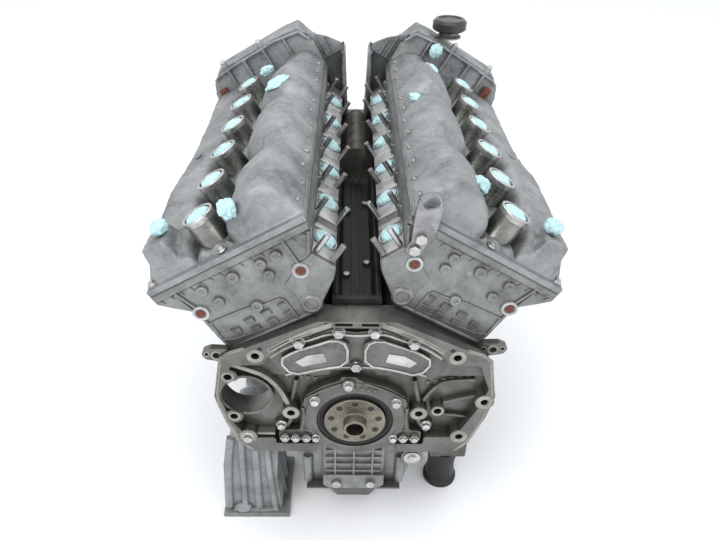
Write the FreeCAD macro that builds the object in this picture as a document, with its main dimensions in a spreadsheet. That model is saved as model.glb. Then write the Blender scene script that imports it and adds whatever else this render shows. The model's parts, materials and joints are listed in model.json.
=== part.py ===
import FreeCAD, Part
import math
import os
import re
import types

# A twelve-cylinder engine with two banks at sixty degrees, stripped to its long block.
# Millimetres. Origin on the crankshaft axis at the flywheel face of its flange,
# +Y along the crankshaft from the flywheel end to the timing end, +Z up, +X to the
# right of somebody who looks at the flywheel end.
# A bank has a frame of its own: u runs up the cylinder axis from the crankshaft and
# w runs across it towards the valley between the banks.

os.makedirs("parts", exist_ok=True)
doc = FreeCAD.newDocument("v_twelve_engine")
sheet = doc.addObject("Spreadsheet::Sheet", "sizes")

DRIVING_SIZES = [
    ("bank_half_angle", 30, "tilt of each bank from upright"),
    ("bore_pitch", 98, "from one bore to the next in a bank"),
    ("bore_radius", 44.5, "cylinder bore"),
    ("first_bore", 66, "rearmost bore of the left bank, from the flange face"),
    ("bank_offset", 17, "how far the right bank sits forward of the left"),
    ("crank_radius", 37.5, "half the stroke"),
    ("deck_height", 190, "crankshaft axis to deck, along a bore"),
    ("deck_outer", 86, "deck edge outside the bore axis"),
    ("deck_inner", 50, "deck edge on the valley side"),
    ("rail_level", -68, "joint between block and sump"),
    ("block_front", 636, "front face of the block"),
    ("web_face", 17, "rear wall of the block, inside the bell flange"),
    ("rear_wall", 20, "thickness of that wall"),
    ("flange_rim", 10, "width of the bell flange rim"),
    ("starter_radius", 35, "hole for the starter motor"),
    ("bell_hole", 5.5, "bolt hole in the bell flange"),
    ("bell_hole_depth", 30, "depth of the first of those holes"),
    ("gasket_thick", 1.2, "head gasket and cover gasket"),
    ("head_height", 126, "head, from gasket to cover joint"),
    ("head_rear", 18, "rear face of the left head"),
    ("head_front", 640, "front face of both heads"),
    ("intake_cam_across", 54, "intake camshaft from the bore axis"),
    ("exhaust_cam_across", -66, "exhaust camshaft from the bore axis"),
    ("cam_drop", 19.2, "camshafts below the joint of head and gasket"),
    ("cam_journal", 13, "camshaft journal radius"),
    ("cam_base", 16, "base circle radius of a cam"),
    ("cam_lift", 8, "lift of a cam"),
    ("running_gap", 0.25, "radial gap round a turning shaft"),
    ("port_radius", 16, "intake port"),
    ("port_rise", 68.3, "centre of the intake flange above the foot of the head"),
    ("port_across", 99.5, "centre of the intake flange, across the bank"),
    ("stud_radius", 4, "intake stud"),
    ("stud_stand", 29, "how far an intake stud stands out"),
    ("cover_flange", 8, "thickness of the head cover flange"),
    ("hood_rise", 60, "crest of the intake side of the cover above its joint"),
    ("hood_dip", 46, "lowest part of that crest"),
    ("outer_rise", 40, "top of the exhaust side of the cover above its joint"),
    ("case_rise", 84, "top of the timing end of the cover above its joint"),
    ("case_inner", 158, "reach of the timing case towards the middle, across the bank"),
    ("case_rear", 628, "rear wall of that raised end"),
    ("case_front", 692, "front face of the timing case"),
    ("tube_radius", 21.5, "spark plug tube, outside"),
    ("tube_bore", 18.5, "spark plug tube, inside"),
    ("tube_stand", 53.6, "mouth of a spark plug tube above the cover joint"),
    ("tube_across", -23, "spark plug tubes from the bore axis"),
    ("flange_radius", 45, "crankshaft flange"),
    ("flange_bolts", 9, "bolt holes in the crankshaft flange"),
    ("flange_bolt_circle", 35, "radius of their circle"),
    ("flange_bolt_hole", 5, "radius of such a hole"),
    ("hub_length", 16, "pilot hub, rearward of the flange face"),
    ("hub_radius", 16.5, "pilot hub, outside"),
    ("pilot_bore", 13, "pilot bore"),
    ("main_journal", 30, "main journal radius"),
    ("main_length", 24, "main bearing, along the shaft"),
    ("pin_radius", 24, "crankpin radius"),
    ("nose_radius", 15, "crankshaft nose"),
    ("seal_radius", 55, "rear main seal, outside"),
    ("seal_width", 9, "rear main seal, along the shaft"),
    ("housing_rear", 4, "rear face of the seal housing"),
    ("wall_face", 13, "rear wall of the block behind the upper half of the bell"),
    ("piston_radius", 44.2, "piston"),
    ("gudgeon_radius", 10, "gudgeon pin"),
    ("piston_crown", 31, "gudgeon pin to piston crown"),
    ("piston_skirt", 20, "gudgeon pin to the end of the skirt"),
    ("sump_joint", -158, "joint between upper and lower sump"),
    ("floor_level", -280, "what the engine stands on"),
    ("sump_wall", 7, "wall of the upper sump"),
    ("plate_wall", 3, "sheet of the lower sump"),
    ("damper_radius", 82, "vibration damper"),
    ("damper_width", 34, "vibration damper, along the shaft"),
    ("chain_plane", 656, "middle of the left timing chain"),
    ("chain_step", 16, "from the left chain to the right chain"),
    ("chain_width", 10, "width of a chain"),
    ("chain_thick", 6, "height of a chain link"),
    ("crank_teeth", 16, "teeth of a crankshaft sprocket"),
    ("tooth_pitch", 8, "pitch of the timing chains"),
    ("bolt_radius", 4, "common bolt"),
    ("bolt_head", 7.5, "corner radius of its hexagon head"),
    ("bolt_head_height", 6, "height of that head"),
    ("bolt_depth", 12, "length of its shank"),
    ("cap_radius", 33, "oil filler cap"),
    ("cap_height", 21, "oil filler cap"),
    ("neck_radius", 21, "oil filler neck at its mouth"),
    ("filler_across", 180, "oil filler from the middle of the engine"),
    ("filler_along", 655, "oil filler from the flywheel face"),
    ("filler_mouth", 388, "mouth of the oil filler above the crankshaft"),
    ("eye_thick", 6, "lifting eye plate"),
    ("eye_hole", 10.5, "hole in the lifting eye"),
]

DERIVED_SIZES = [
    ("rod_length", "=deck_height - crank_radius - piston_crown - 0.5",
     "connecting rod between its two eyes"),
    ("head_foot", "=deck_height + gasket_thick", "underside of the head"),
    ("head_top", "=head_foot + head_height", "cover joint of the head"),
    ("cover_foot", "=head_top + gasket_thick", "underside of the head cover"),
    ("cam_height", "=head_top - cam_drop", "camshafts above the crankshaft, along a bore"),
    ("port_up", "=head_foot + port_rise", "centre of the intake flange, along the bank"),
    ("tube_mouth", "=cover_foot + tube_stand", "mouth of a spark plug tube, along the bank"),
    ("case_top", "=cover_foot + case_rise", "top of the timing end of the cover"),
]

for row, (alias, value, meaning) in enumerate(DRIVING_SIZES + DERIVED_SIZES, 1):
    sheet.set(f"A{row}", meaning)
    sheet.set(f"B{row}", str(value))
    sheet.setAlias(f"B{row}", alias)
doc.recompute()

NAMES = {alias for alias, _, _ in DRIVING_SIZES + DERIVED_SIZES}
size = types.SimpleNamespace(**{alias: float(sheet.get(alias)) for alias in NAMES})

CYLINDERS = range(6)
SIDES = (("left", -1), ("right", 1))
VECTOR = FreeCAD.Vector
ALONG_Y = FreeCAD.Rotation(VECTOR(1, 0, 0), -90)
nodes = {}


# Helpers


def bound(text):
    """An expression of sheet aliases, in the words of the document."""
    return re.sub(r"[a-z_]+", lambda m: "sizes." + m[0] if m[0] in NAMES else m[0], str(text))


def bind(feature, **expressions):
    for name, text in expressions.items():
        feature.setExpression(name, bound(text))
    return feature


def put(feature, at, rotation=None):
    """Place a feature at three expressions."""
    feature.Placement = FreeCAD.Placement(VECTOR(0, 0, 0), rotation or FreeCAD.Rotation())
    for axis, text in zip("xyz", at):
        feature.setExpression(f"Placement.Base.{axis}", bound(text))
    return feature


def node(name, feature):
    """A finished sub-part, whose label names its file."""
    feature.Label = name
    nodes[name] = feature
    return feature


def corners_to_edges(corners):
    """Edges of a closed outline whose corners (x, y, radius) are rounded."""
    edges = []
    ends = []
    count = len(corners)
    for index, (x, y, radius) in enumerate(corners):
        here = VECTOR(x, y, 0)
        before = VECTOR(*corners[index - 1][:2], 0) - here
        after = VECTOR(*corners[(index + 1) % count][:2], 0) - here
        if radius <= 0:
            ends.append((here, here))
            continue
        half = before.getAngle(after) / 2
        reach = radius / math.tan(half)
        start = here + before.normalize() * reach
        finish = here + after.normalize() * reach
        bisector = (before + after).normalize()
        middle = here + bisector * (radius / math.sin(half) - radius)
        edges.append(Part.Arc(start, middle, finish))
        ends.append((start, finish))
    for index in range(count):
        start = ends[index][1]
        finish = ends[(index + 1) % count][0]
        edges.append(Part.LineSegment(start, finish))
    return edges


def padded_sketch(name, role, corners, offset, length, reverse, holes, edges=None):
    """A body with one sketch on an origin plane and one pad."""
    body = doc.addObject("PartDesign::Body", name)
    sketch = body.newObject("Sketcher::SketchObject", name + "_outline")
    plane = [face for face in body.Origin.OriginFeatures if face.Role == role][0]
    sketch.AttachmentSupport = [(plane, "")]
    sketch.MapMode = "FlatFace"
    sketch.setExpression("AttachmentOffset.Base.z", bound(offset))
    for edge in edges or corners_to_edges(corners):
        sketch.addGeometry(edge)
    for x, y, radius in holes:
        sketch.addGeometry(Part.Circle(VECTOR(x, y, 0), VECTOR(0, 0, 1), radius))
    pad = body.newObject("PartDesign::Pad", name + "_pad")
    pad.Profile = sketch
    pad.Reversed = reverse
    pad.setExpression("Length", bound(length))
    body.Tip = pad
    return body


def prism(name, corners, start, length, holes=(), edges=None):
    """An outline in X and Z, padded towards +Y from start."""
    sharp = [corner if len(corner) == 3 else (*corner, 0) for corner in corners]
    return padded_sketch(name, "XZ_Plane", sharp, f"-({start})", length, True, holes, edges)


def plate(name, corners, level, thickness, holes=()):
    """An outline in X and Y, padded upwards from level."""
    sharp = [corner if len(corner) == 3 else (*corner, 0) for corner in corners]
    return padded_sketch(name, "XY_Plane", sharp, level, thickness, False, holes)


def turned(name, outline):
    """A closed outline of (radius, y) corners, revolved about the Y axis."""
    body = doc.addObject("PartDesign::Body", name)
    sketch = body.newObject("Sketcher::SketchObject", name + "_section")
    plane = [face for face in body.Origin.OriginFeatures if face.Role == "XY_Plane"][0]
    sketch.AttachmentSupport = [(plane, "")]
    sketch.MapMode = "FlatFace"
    sharp = [corner if len(corner) == 3 else (*corner, 0) for corner in outline]
    for edge in corners_to_edges(sharp):
        sketch.addGeometry(edge)
    turn = body.newObject("PartDesign::Revolution", name + "_turn")
    turn.Profile = sketch
    turn.ReferenceAxis = (sketch, ["V_Axis"])
    turn.Angle = 360
    body.Tip = turn
    return body


def cylinder(name, radius, length, at, rotation=None):
    feature = doc.addObject("Part::Cylinder", name)
    bind(feature, Radius=radius, Height=length)
    return put(feature, at, rotation)


def box(name, low, lengths, rotation=None):
    feature = doc.addObject("Part::Box", name)
    bind(feature, Length=lengths[0], Width=lengths[1], Height=lengths[2])
    return put(feature, low, rotation)


def frustum(name, low, high, inset):
    """A block between two corners whose top is drawn in by inset on each side."""
    feature = doc.addObject("Part::Wedge", name)
    across = (inset, inset) if isinstance(inset, (int, float)) else inset
    feature.Xmin, feature.Xmax = low[0], high[0]
    feature.Zmin, feature.Zmax = low[1], high[1]
    feature.Ymin, feature.Ymax = low[2], high[2]
    feature.X2min, feature.X2max = low[0] + across[0], high[0] - across[0]
    feature.Z2min, feature.Z2max = low[1] + across[1], high[1] - across[1]
    # A wedge grows along its own y; this turn stands it up along z.
    feature.Placement = FreeCAD.Placement(VECTOR(0, 0, 0), FreeCAD.Rotation(VECTOR(1, 0, 0), 90))
    flipped = doc.addObject("Part::Mirroring", name + "_upright")
    flipped.Source = feature
    flipped.Base = VECTOR(0, 0, 0)
    flipped.Normal = VECTOR(0, 1, 0)
    return flipped


def fuse(name, shapes):
    feature = doc.addObject("Part::MultiFuse", name)
    feature.Shapes = shapes
    return feature


def group(name, shapes):
    feature = doc.addObject("Part::Compound", name)
    feature.Links = shapes
    return feature


def cut(name, base, tools):
    """Cut one or several tools from a base."""
    feature = doc.addObject("Part::Cut", name)
    feature.Base = base
    feature.Tool = tools[0] if len(tools) == 1 else group(name + "_tools", tools)
    return feature


def made(name, shape):
    """A shape built by Part's own functions from the sizes of the sheet."""
    feature = doc.addObject("Part::Feature", name)
    feature.Shape = shape
    return feature


def bank_turn(side):
    return FreeCAD.Rotation(VECTOR(0, 1, 0), side * size.bank_half_angle)


def on_bank(feature, side):
    """Tilt a feature from the bank's frame to its place."""
    forward = size.bank_offset if side > 0 else 0
    feature.Placement = FreeCAD.Placement(VECTOR(0, forward, 0), bank_turn(side))
    return feature


def from_bank(side, w, u):
    """X and Z of a point of a bank."""
    tilt = math.radians(size.bank_half_angle)
    x = side * (math.sin(tilt) * u - math.cos(tilt) * w)
    return x, math.cos(tilt) * u + math.sin(tilt) * w


def across(side, corners):
    """Corners (w, u, radius) of a bank in its own frame."""
    return [(-side * corner[0], *corner[1:]) for corner in corners]


def bolt(name, at, rotation, depth="bolt_depth", radius="bolt_radius", head="bolt_head"):
    """A hexagon bolt whose head stands on the face that it holds down."""
    shank = cylinder(name + "_shank", radius, f"{depth} + bolt_head_height", (0, 0, 0))
    shank.setExpression("Placement.Base.z", bound(f"-({depth})"))
    hexagon = doc.addObject("Part::Prism", name + "_head")
    hexagon.Polygon = 6
    bind(hexagon, Circumradius=head, Height="bolt_head_height")
    return put(fuse(name, [shank, hexagon]), at, rotation)


# Crankshaft


MAINS = [size.first_bore + size.bank_offset / 2 + (index - 0.5) * size.bore_pitch for index in range(7)]
THROWS = [0, 240, 120, 120, 240, 0]
CRANK_NOSE = size.case_front + size.damper_width + 4


def round_bar(radius, start, finish, x=0, z=0):
    return Part.makeCylinder(radius, finish - start, VECTOR(x, start, z), VECTOR(0, 1, 0))


def crank_web(y, angle):
    """A web with its counterweight, 13 mm thick, at one side of a crankpin."""
    thickness = 13
    neck = size.pin_radius + 4
    weight = 60
    outline = [
        VECTOR(-neck, 0, size.crank_radius),
        VECTOR(-neck * 0.7, 0, size.crank_radius + 0.75 * neck),
        VECTOR(neck * 0.7, 0, size.crank_radius + 0.75 * neck),
        VECTOR(neck, 0, size.crank_radius),
        VECTOR(neck + 6, 0, 0),
        VECTOR(0.86 * weight, 0, -0.5 * weight),
        VECTOR(0.5 * weight, 0, -0.86 * weight),
        VECTOR(-0.5 * weight, 0, -0.86 * weight),
        VECTOR(-0.86 * weight, 0, -0.5 * weight),
        VECTOR(-neck - 6, 0, 0),
    ]
    wire = Part.makePolygon(outline + outline[:1])
    web = Part.Face(wire).extrude(VECTOR(0, thickness, 0))
    web.translate(VECTOR(0, y, 0))
    web.rotate(VECTOR(0, 0, 0), VECTOR(0, 1, 0), angle)
    return web


def crankshaft_shape():
    flange = round_bar(size.flange_radius, 0, size.web_face - 0.4)
    hub = round_bar(size.hub_radius, -size.hub_length, 1)
    nose = round_bar(size.nose_radius, MAINS[-1], CRANK_NOSE)
    pieces = [hub, nose]
    half = size.main_length / 2
    for y in MAINS:
        pieces.append(round_bar(size.main_journal, y - half - 0.5, y + half + 0.5))
    for index, angle in enumerate(THROWS):
        start = MAINS[index] + half + 0.3
        finish = MAINS[index + 1] - half - 0.3
        tilt = math.radians(angle)
        x, z = size.crank_radius * math.sin(tilt), size.crank_radius * math.cos(tilt)
        pieces.append(round_bar(size.pin_radius, start + 4, finish - 4, x, z))
        pieces.append(crank_web(start, angle))
        pieces.append(crank_web(finish - 13, angle))
    shaft = flange.multiFuse(pieces)
    holes = [round_bar(size.pilot_bore, -size.hub_length - 1, size.web_face + 4)]
    for index in range(int(size.flange_bolts)):
        tilt = 2 * math.pi * index / size.flange_bolts
        x = size.flange_bolt_circle * math.sin(tilt)
        z = size.flange_bolt_circle * math.cos(tilt)
        holes.append(round_bar(size.flange_bolt_hole, -1, size.web_face + 1, x, z))
    return shaft.cut(Part.makeCompound(holes))


node("crankshaft", made("crankshaft", crankshaft_shape()))

CRANK_SPROCKET = size.crank_teeth * size.tooth_pitch / (2 * math.pi)
CAM_SPROCKET = 2 * CRANK_SPROCKET
TOOTH = 2.4


def sprocket_shape(radius, teeth, bore, thickness):
    """A toothed wheel centred on the Y axis, from y 0 to its thickness."""
    points = []
    for index in range(int(teeth)):
        for part, reach in ((0, radius), (0.3, radius), (0.5, radius - TOOTH), (0.8, radius - TOOTH)):
            turn = 2 * math.pi * (index + part) / teeth
            points.append(VECTOR(reach * math.sin(turn), 0, reach * math.cos(turn)))
    wheel = Part.Face(Part.makePolygon(points + points[:1])).extrude(VECTOR(0, thickness, 0))
    return wheel.cut(round_bar(bore, -1, thickness + 1))


def crank_sprockets():
    wheels = []
    for index in (0, 1):
        wheel = sprocket_shape(CRANK_SPROCKET, size.crank_teeth, size.nose_radius + 0.1,
                               size.chain_width - 2)
        wheel.translate(VECTOR(0, size.chain_plane + index * size.chain_step - size.chain_width / 2 + 1, 0))
        wheels.append(wheel)
    return Part.makeCompound(wheels)


node("crankshaft_sprockets", made("crankshaft_sprockets", crank_sprockets()))

DAMPER_REAR = size.case_front + 3
node("vibration_damper", turned("vibration_damper", [
    (size.nose_radius + 0.1, DAMPER_REAR), (30, DAMPER_REAR), (34, DAMPER_REAR + 12),
    (size.damper_radius - 16, DAMPER_REAR + 12),
    (size.damper_radius - 16, DAMPER_REAR), (size.damper_radius, DAMPER_REAR, 2),
    (size.damper_radius, DAMPER_REAR + 12), (size.damper_radius - 4, DAMPER_REAR + 15),
    (size.damper_radius, DAMPER_REAR + 18), (size.damper_radius - 4, DAMPER_REAR + 21),
    (size.damper_radius, DAMPER_REAR + 24), (size.damper_radius, DAMPER_REAR + size.damper_width, 2),
    (size.damper_radius - 14, DAMPER_REAR + size.damper_width), (size.damper_radius - 18, DAMPER_REAR + 20),
    (34, DAMPER_REAR + 20), (30, DAMPER_REAR + size.damper_width - 8),
    (size.nose_radius + 0.1, DAMPER_REAR + size.damper_width - 8),
]))
node("damper_bolt", bolt("damper_bolt", (0, CRANK_NOSE, 0), ALONG_Y, 3, 8, 15))
crank_feature = nodes["crankshaft"]
crank_feature.Shape = crank_feature.Shape.cut(round_bar(8.2, CRANK_NOSE - 4, CRANK_NOSE + 1))


# Block


def bell_outline(rise):
    """Outline of the bell flange in X and Z; rise lifts its top over the decks."""
    outside = size.deck_outer + 0.8 * rise
    return [
        (*from_bank(-1, -outside, size.deck_height + rise), 8), (-201, 50, 18), (-183, -4, 14),
        (-167, -49, 10),
        (-153, size.rail_level, 8), (-60, size.rail_level), (60, size.rail_level),
        (155, size.rail_level, 8),
        (166, -45, 10), (191, 11, 14), (200, 55, 18), (*from_bank(1, -outside, size.deck_height + rise), 8),
        from_bank(1, size.deck_inner, size.deck_height), from_bank(-1, size.deck_inner, size.deck_height),
    ]


BELL_BOSSES = [(-178, 88, 14), (-176, 9, 13), (-159, -35, 14), (-93, 17, 13), (186, 42, 14), (157, -32, 14),
               (93, 17, 13), (120, 23, 10)]
UPPER_BELL_HOLES = [(-137, 128), (138, 128)]

left_outer = from_bank(-1, -60, size.deck_height - 106)
vee = [
    (-112, size.rail_level), (-116, 10, 12), (*left_outer, 10),
    (*from_bank(-1, -60, size.deck_height - 32), 10),
    (*from_bank(-1, -size.deck_outer, size.deck_height - 12), 0),
    (*from_bank(-1, -size.deck_outer, size.deck_height), 0),
    (*from_bank(-1, size.deck_inner, size.deck_height), 0), (-26, size.deck_height - 34, 8),
]
vee += [(-x, z, *rest) for x, z, *rest in reversed(vee)]
block_body = prism("block_body", vee, "web_face", "block_front - web_face")
flange_full = prism("bell_flange", bell_outline(10), 0, "head_rear - 3.3")
flange_deep = prism("bell_flange_deep", bell_outline(0), "head_rear - 4",
                    "web_face + rear_wall - head_rear + 4")
RIDGE = size.deck_height
recess = [
    (-183, 79), (-172, RIDGE - 80, 8), (-128, RIDGE - 78, 8), (-122, RIDGE - 66, 6), (-92, RIDGE - 34, 6),
    (-62, RIDGE - 23, 6), (-34, RIDGE - 10.5, 6), (34, RIDGE - 10.5, 6), (62, RIDGE - 23, 6),
    (92, RIDGE - 34, 6),
    (122, RIDGE - 64, 6), (128, RIDGE - 76, 8), (172, RIDGE - 76, 8), (184, 79),
]
lower_recess = [
    (-182, 82, 6), (-194, 50, 14), (-181, 0, 8), (-160, -38, 6), (-118, -38, 4), (-118, -50, 3),
    (-57, -50), (-57, -70),
    (64, -70), (64, -50), (104, -50, 3), (104, -34, 4), (150, -34, 6), (176, 22, 8), (189, 68, 10),
    (183, 82, 6),
    (30, 82), (26, 91, 4), (-34, 91, 4), (-38, 82),
]
bell_recess = [prism("bell_recess", recess, -1, "wall_face + 1"),
               prism("bell_recess_deep", lower_recess, -1, "web_face + 1")]
bosses = [
    cylinder(f"bell_boss_{index}", radius, "web_face + 4", (x, 0, z), ALONG_Y)
    for index, (x, z, radius) in enumerate(BELL_BOSSES)
]
# Each hole is a millimetre shallower than the one before it
bolt_holes = [
    cylinder(f"bell_hole_{index}", "bell_hole", f"2 + bell_hole_depth - {index}", (x, -2, z), ALONG_Y)
    for index, (x, z) in enumerate([boss[:2] for boss in BELL_BOSSES] + UPPER_BELL_HOLES)
]
starter_hole = cylinder("starter_hole", "starter_radius", 60, (-156, -2, 49), ALONG_Y)
starter_collar = cylinder("starter_collar", "starter_radius + 4", "web_face + 1", (-156, 3, 49), ALONG_Y)


def side_lug(side):
    """An oval ear with three holes at the outer end of a deck."""
    corners = [(-82, 190), (-84, 205, 5), (-103, 217, 6), (-119, 218, 6), (-119, 205, 6), (-101, 189, 6)]
    ear = prism(f"side_lug_{side}", across(side, [(w, u - 190 + size.deck_height, *rest) for w, u,
                                                  *rest in corners]),
                4, 10.5)
    return on_bank(ear, side)


def side_lug_holes(side):
    spots = [(-102, 13, 5), (-112.5, 21.5, 2.5), (-90, 7.5, 2.5)]
    holes = [cylinder(f"side_lug_hole_{side}_{index}", radius, 16,
                      (-side * w, 1, size.deck_height + rise), ALONG_Y)
             for index, (w, rise, radius) in enumerate(spots)]
    return on_bank(group(f"side_lug_holes_{side}", holes), side)


crankcase = [
    (-96, size.rail_level - 2), (-96, 0, 14), (-62, 58, 10), (-30, 76, 10), (30, 76, 10), (62, 58, 10),
    (96, 0, 14), (96, size.rail_level - 2),
]
HALF_MAIN = size.main_length / 2
pockets = [
    prism(f"crank_pocket_{index}", crankcase, MAINS[index] + HALF_MAIN,
          MAINS[index + 1] - MAINS[index] - 2 * HALF_MAIN)
    for index in CYLINDERS
]


def bank_bores(side):
    """The six cylinder bores of a bank, standing in its own frame."""
    holes = [
        cylinder(f"bore_{side}_{index}", "bore_radius", 160, (0, f"first_bore + {index} * bore_pitch", 60))
        for index in CYLINDERS
    ]
    return on_bank(group(f"bores_{side}", holes), 1 if side > 0 else -1)


main_tunnel = cylinder("main_tunnel", "main_journal + running_gap", "block_front + 40",
                       (0, "web_face - 4", 0), ALONG_Y)
seal_space = cylinder("seal_space", "flange_radius + 2", 6, (0, "web_face - 4", 0), ALONG_Y)
nose_space = box("front_space", (-60, MAINS[-1] + HALF_MAIN, "rail_level - 2"),
                 (120, 60, "60 - rail_level"))
cap_slots = [
    box(f"cap_slot_{index}", (-56, y - HALF_MAIN - 0.5, "rail_level - 2"),
        (112, "main_length + 1", "2 - rail_level"))
    for index, y in enumerate(MAINS[1:-1])
]
rear_cap_slot = box("rear_cap_slot", (-56, "web_face - 1", "rail_level - 2"), (112, 13, "2 - rail_level"))
band_slots = []
for index, x in enumerate((-29, 6)):
    band_slots.append(box(f"band_slot_{index}", (x, -1, RIDGE - 7.5), (23, 9, 4.5)))
side_ribs = []
for side in (-1, 1):
    for index, y in enumerate(MAINS[1:-1]):
        rib = prism(f"side_rib_{side}_{index}", [
            (side * 100, size.rail_level + 4), (side * 122, size.rail_level + 4), (side * 122, 4),
            (side * 126, 84), (side * 100, 70)], y - 5, 10)
        side_ribs.append(rib)
front_wall = prism("front_wall", [
    (-112, size.rail_level), (-150, 40, 20), from_bank(-1, -size.deck_outer, size.deck_height),
    from_bank(-1, size.deck_inner, size.deck_height), from_bank(1, size.deck_inner, size.deck_height),
    from_bank(1, -size.deck_outer, size.deck_height), (150, 40, 20), (112, size.rail_level)],
    "block_front - 12", 12)
valley_floor = box("valley_floor", (-34, "web_face + 4", 128), (68, "block_front - web_face - 8",
                                                                "deck_height - 150"))
casting = fuse("block_casting", [block_body, flange_full, flange_deep, front_wall, valley_floor] + side_ribs
               + [side_lug(side) for side in (-1, 1)])
hollow = cut("block_hollow", casting, bell_recess + pockets + [bank_bores(-1), bank_bores(1), nose_space])
mount_pads = [
    prism("mount_pad_left", [(-110, -64), (-122, -64, 3), (-122, -14, 6), (-110, -6)], 37, 113),
    prism("mount_pad_right", [(110, -64), (122, -64, 3), (122, -14, 6), (110, -6)], 86, 64)]
posts = fuse("block_with_bosses", [hollow, starter_collar] + bosses + mount_pads)
node("cylinder_block", cut("cylinder_block", posts, bolt_holes + [starter_hole, main_tunnel, seal_space]
                           + cap_slots + [rear_cap_slot] + band_slots + [side_lug_holes(side)
                                                                         for side in (-1, 1)]))

cap_solids = []
for index, y in enumerate(MAINS[:-1]):
    low = y - HALF_MAIN
    cap = prism(f"main_cap_{index}", [(-54, -0.3), (-54, -30, 4), (-38, -50, 4), (38, -50, 4),
                                      (54, -30, 4), (54, -0.3)],
                low if index else size.web_face + 0.2, size.main_length if index else 11.6)
    cap_solids.append(cap)
caps_raw = group("main_cap_set", cap_solids)
tunnel_again = cylinder("cap_tunnel", "main_journal + running_gap", "block_front", (0, 10, 0), ALONG_Y)
node("main_bearing_caps", cut("main_bearing_caps", caps_raw, [tunnel_again]))


# Rear cover plate, seal housing and seal


COVER_HALF = [
    (20, 102, 6), (52, 96, 6), (79, 89, 5), (98, 86, 5), (121, RIDGE - 71, 7), (110, RIDGE - 59, 7),
    (88, RIDGE - 37, 6),
    (60, RIDGE - 32, 8), (34, RIDGE - 18, 6),
]
cover_corners = COVER_HALF + [(0, RIDGE - 24, 10)] + [(-x, z, r) for x, z, r in reversed(COVER_HALF)]
COVER_BOLTS = [(-77.5, RIDGE - 40), (-24, RIDGE - 21), (24, RIDGE - 21), (77.5, RIDGE - 40), (0, 108)]
PANEL = [(86, 90, 5), (52, 102, 6), (10, 112, 5), (10, RIDGE - 40, 8), (28, RIDGE - 29, 8),
         (60, RIDGE - 43, 8),
         (104, RIDGE - 69, 6)]
cover_flat = prism("rear_cover_flat", cover_corners, "wall_face - 6", 5.8)
cover_right = prism("rear_cover_panel_right", PANEL, "wall_face - 11", 8)
cover_left = prism("rear_cover_panel_left", [(-x, z, r) for x, z, r in reversed(PANEL)], "wall_face - 11",
                   8)
cover_bosses = [
    cylinder(f"rear_cover_boss_{index}", "bolt_head + 1.2", 8, (x, "wall_face - 8.5", z), ALONG_Y)
    for index, (x, z) in enumerate(COVER_BOLTS)
]
cover_holes = [
    cylinder(f"rear_cover_hole_{index}", "bolt_radius + 0.3", 40, (x, 0, z), ALONG_Y)
    for index, (x, z) in enumerate(COVER_BOLTS)
]
node("rear_cover_plate", cut("rear_cover_plate",
                             fuse("rear_cover_solid", [cover_flat, cover_left, cover_right] + cover_bosses),
                             cover_holes))
TOWARDS_Y = FreeCAD.Rotation(VECTOR(1, 0, 0), 90)
node("rear_cover_bolts", group("rear_cover_bolts", [
    bolt(f"rear_cover_bolt_{index}", (x, "wall_face - 8.5", z), TOWARDS_Y, 8.2)
    for index, (x, z) in enumerate(COVER_BOLTS)]))

HOUSING_BOLTS = [(-10, 73), (-58, 42), (59, 39), (-104, -37), (-88, -37), (-72, -37), (73, -37), (90, -37)]
housing_corners = [
    (-54, -58, 4), (-54, -47, 2), (-113, -47, 5), (-113, -26, 6), (-82, -24, 6), (-78, 6, 8),
    (-76, 30, 8), (-71, 50, 7),
    (-46, 68, 12), (-22, 79, 8), (-19, 86, 4), (-1, 86, 4), (6, 80, 6), (46, 66, 12), (71, 48, 7),
    (76, 30, 8),
    (78, 6, 8), (82, -24, 6), (100, -26, 5), (100, -46, 5), (60, -47, 2), (60, -58, 4),
]
node("rear_seal_housing", prism("rear_seal_housing", housing_corners, "housing_rear",
                                "web_face - housing_rear - 0.2",
                                [(0, 0, size.seal_radius + 0.1)]
                                + [(x, z, size.bolt_radius + 0.3) for x, z in HOUSING_BOLTS]))
node("rear_seal_housing_bolts", group("rear_seal_housing_bolts", [
    bolt(f"seal_housing_bolt_{index}", (x, "housing_rear", z), TOWARDS_Y, "web_face - housing_rear - 1")
    for index, (x, z) in enumerate(HOUSING_BOLTS)]))
SEAL_REAR = size.housing_rear + 1
node("rear_main_seal", turned("rear_main_seal", [
    (size.flange_radius + size.running_gap, SEAL_REAR + 3), (size.flange_radius + 3, SEAL_REAR),
    (size.seal_radius, SEAL_REAR), (size.seal_radius, SEAL_REAR + size.seal_width),
    (size.flange_radius + 3, SEAL_REAR + size.seal_width), (size.flange_radius + size.running_gap,
                                                            SEAL_REAR + 8),
]))


# Sump


SUMP_REAR = size.web_face
SUMP_FRONT = size.block_front
upper_corners = [
    (-112, size.rail_level - 0.3), (-112, size.rail_level - 12, 4), (-88, size.rail_level - 18, 8),
    (-78, size.sump_joint, 8), (80, size.sump_joint, 8), (96, size.rail_level - 18, 8),
    (112, size.rail_level - 12, 4), (112, size.rail_level - 0.3),
]
upper_shell = prism("upper_sump_shell", upper_corners, SUMP_REAR, SUMP_FRONT - SUMP_REAR)
ribbed_box = prism("sump_rear_box", [(-47, size.rail_level - 0.3), (-47, size.sump_joint),
                                     (47, size.sump_joint),
                                     (47, size.rail_level - 0.3)], 6, SUMP_REAR - 4)
ribbed_lip = prism("sump_rear_lip", [(-47, -58.5), (-47, -80), (47, -80), (47, -58.5)], 6, SUMP_REAR - 6.4)
rear_foot = prism("sump_rear_foot", [(-48, -126, 2), (-48, size.sump_joint + 8, 4),
                                     (-38, size.sump_joint, 4),
                                     (38, size.sump_joint, 4), (48, size.sump_joint + 8, 4),
                                     (48, -126, 2)], 0, 10)
rear_ribs = []
for index, x in enumerate((-29, 0, 29)):
    rear_ribs.append(box(f"sump_rib_upright_{index}", (x - 1.5, 2, -130), (3, 6, 66)))
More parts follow.
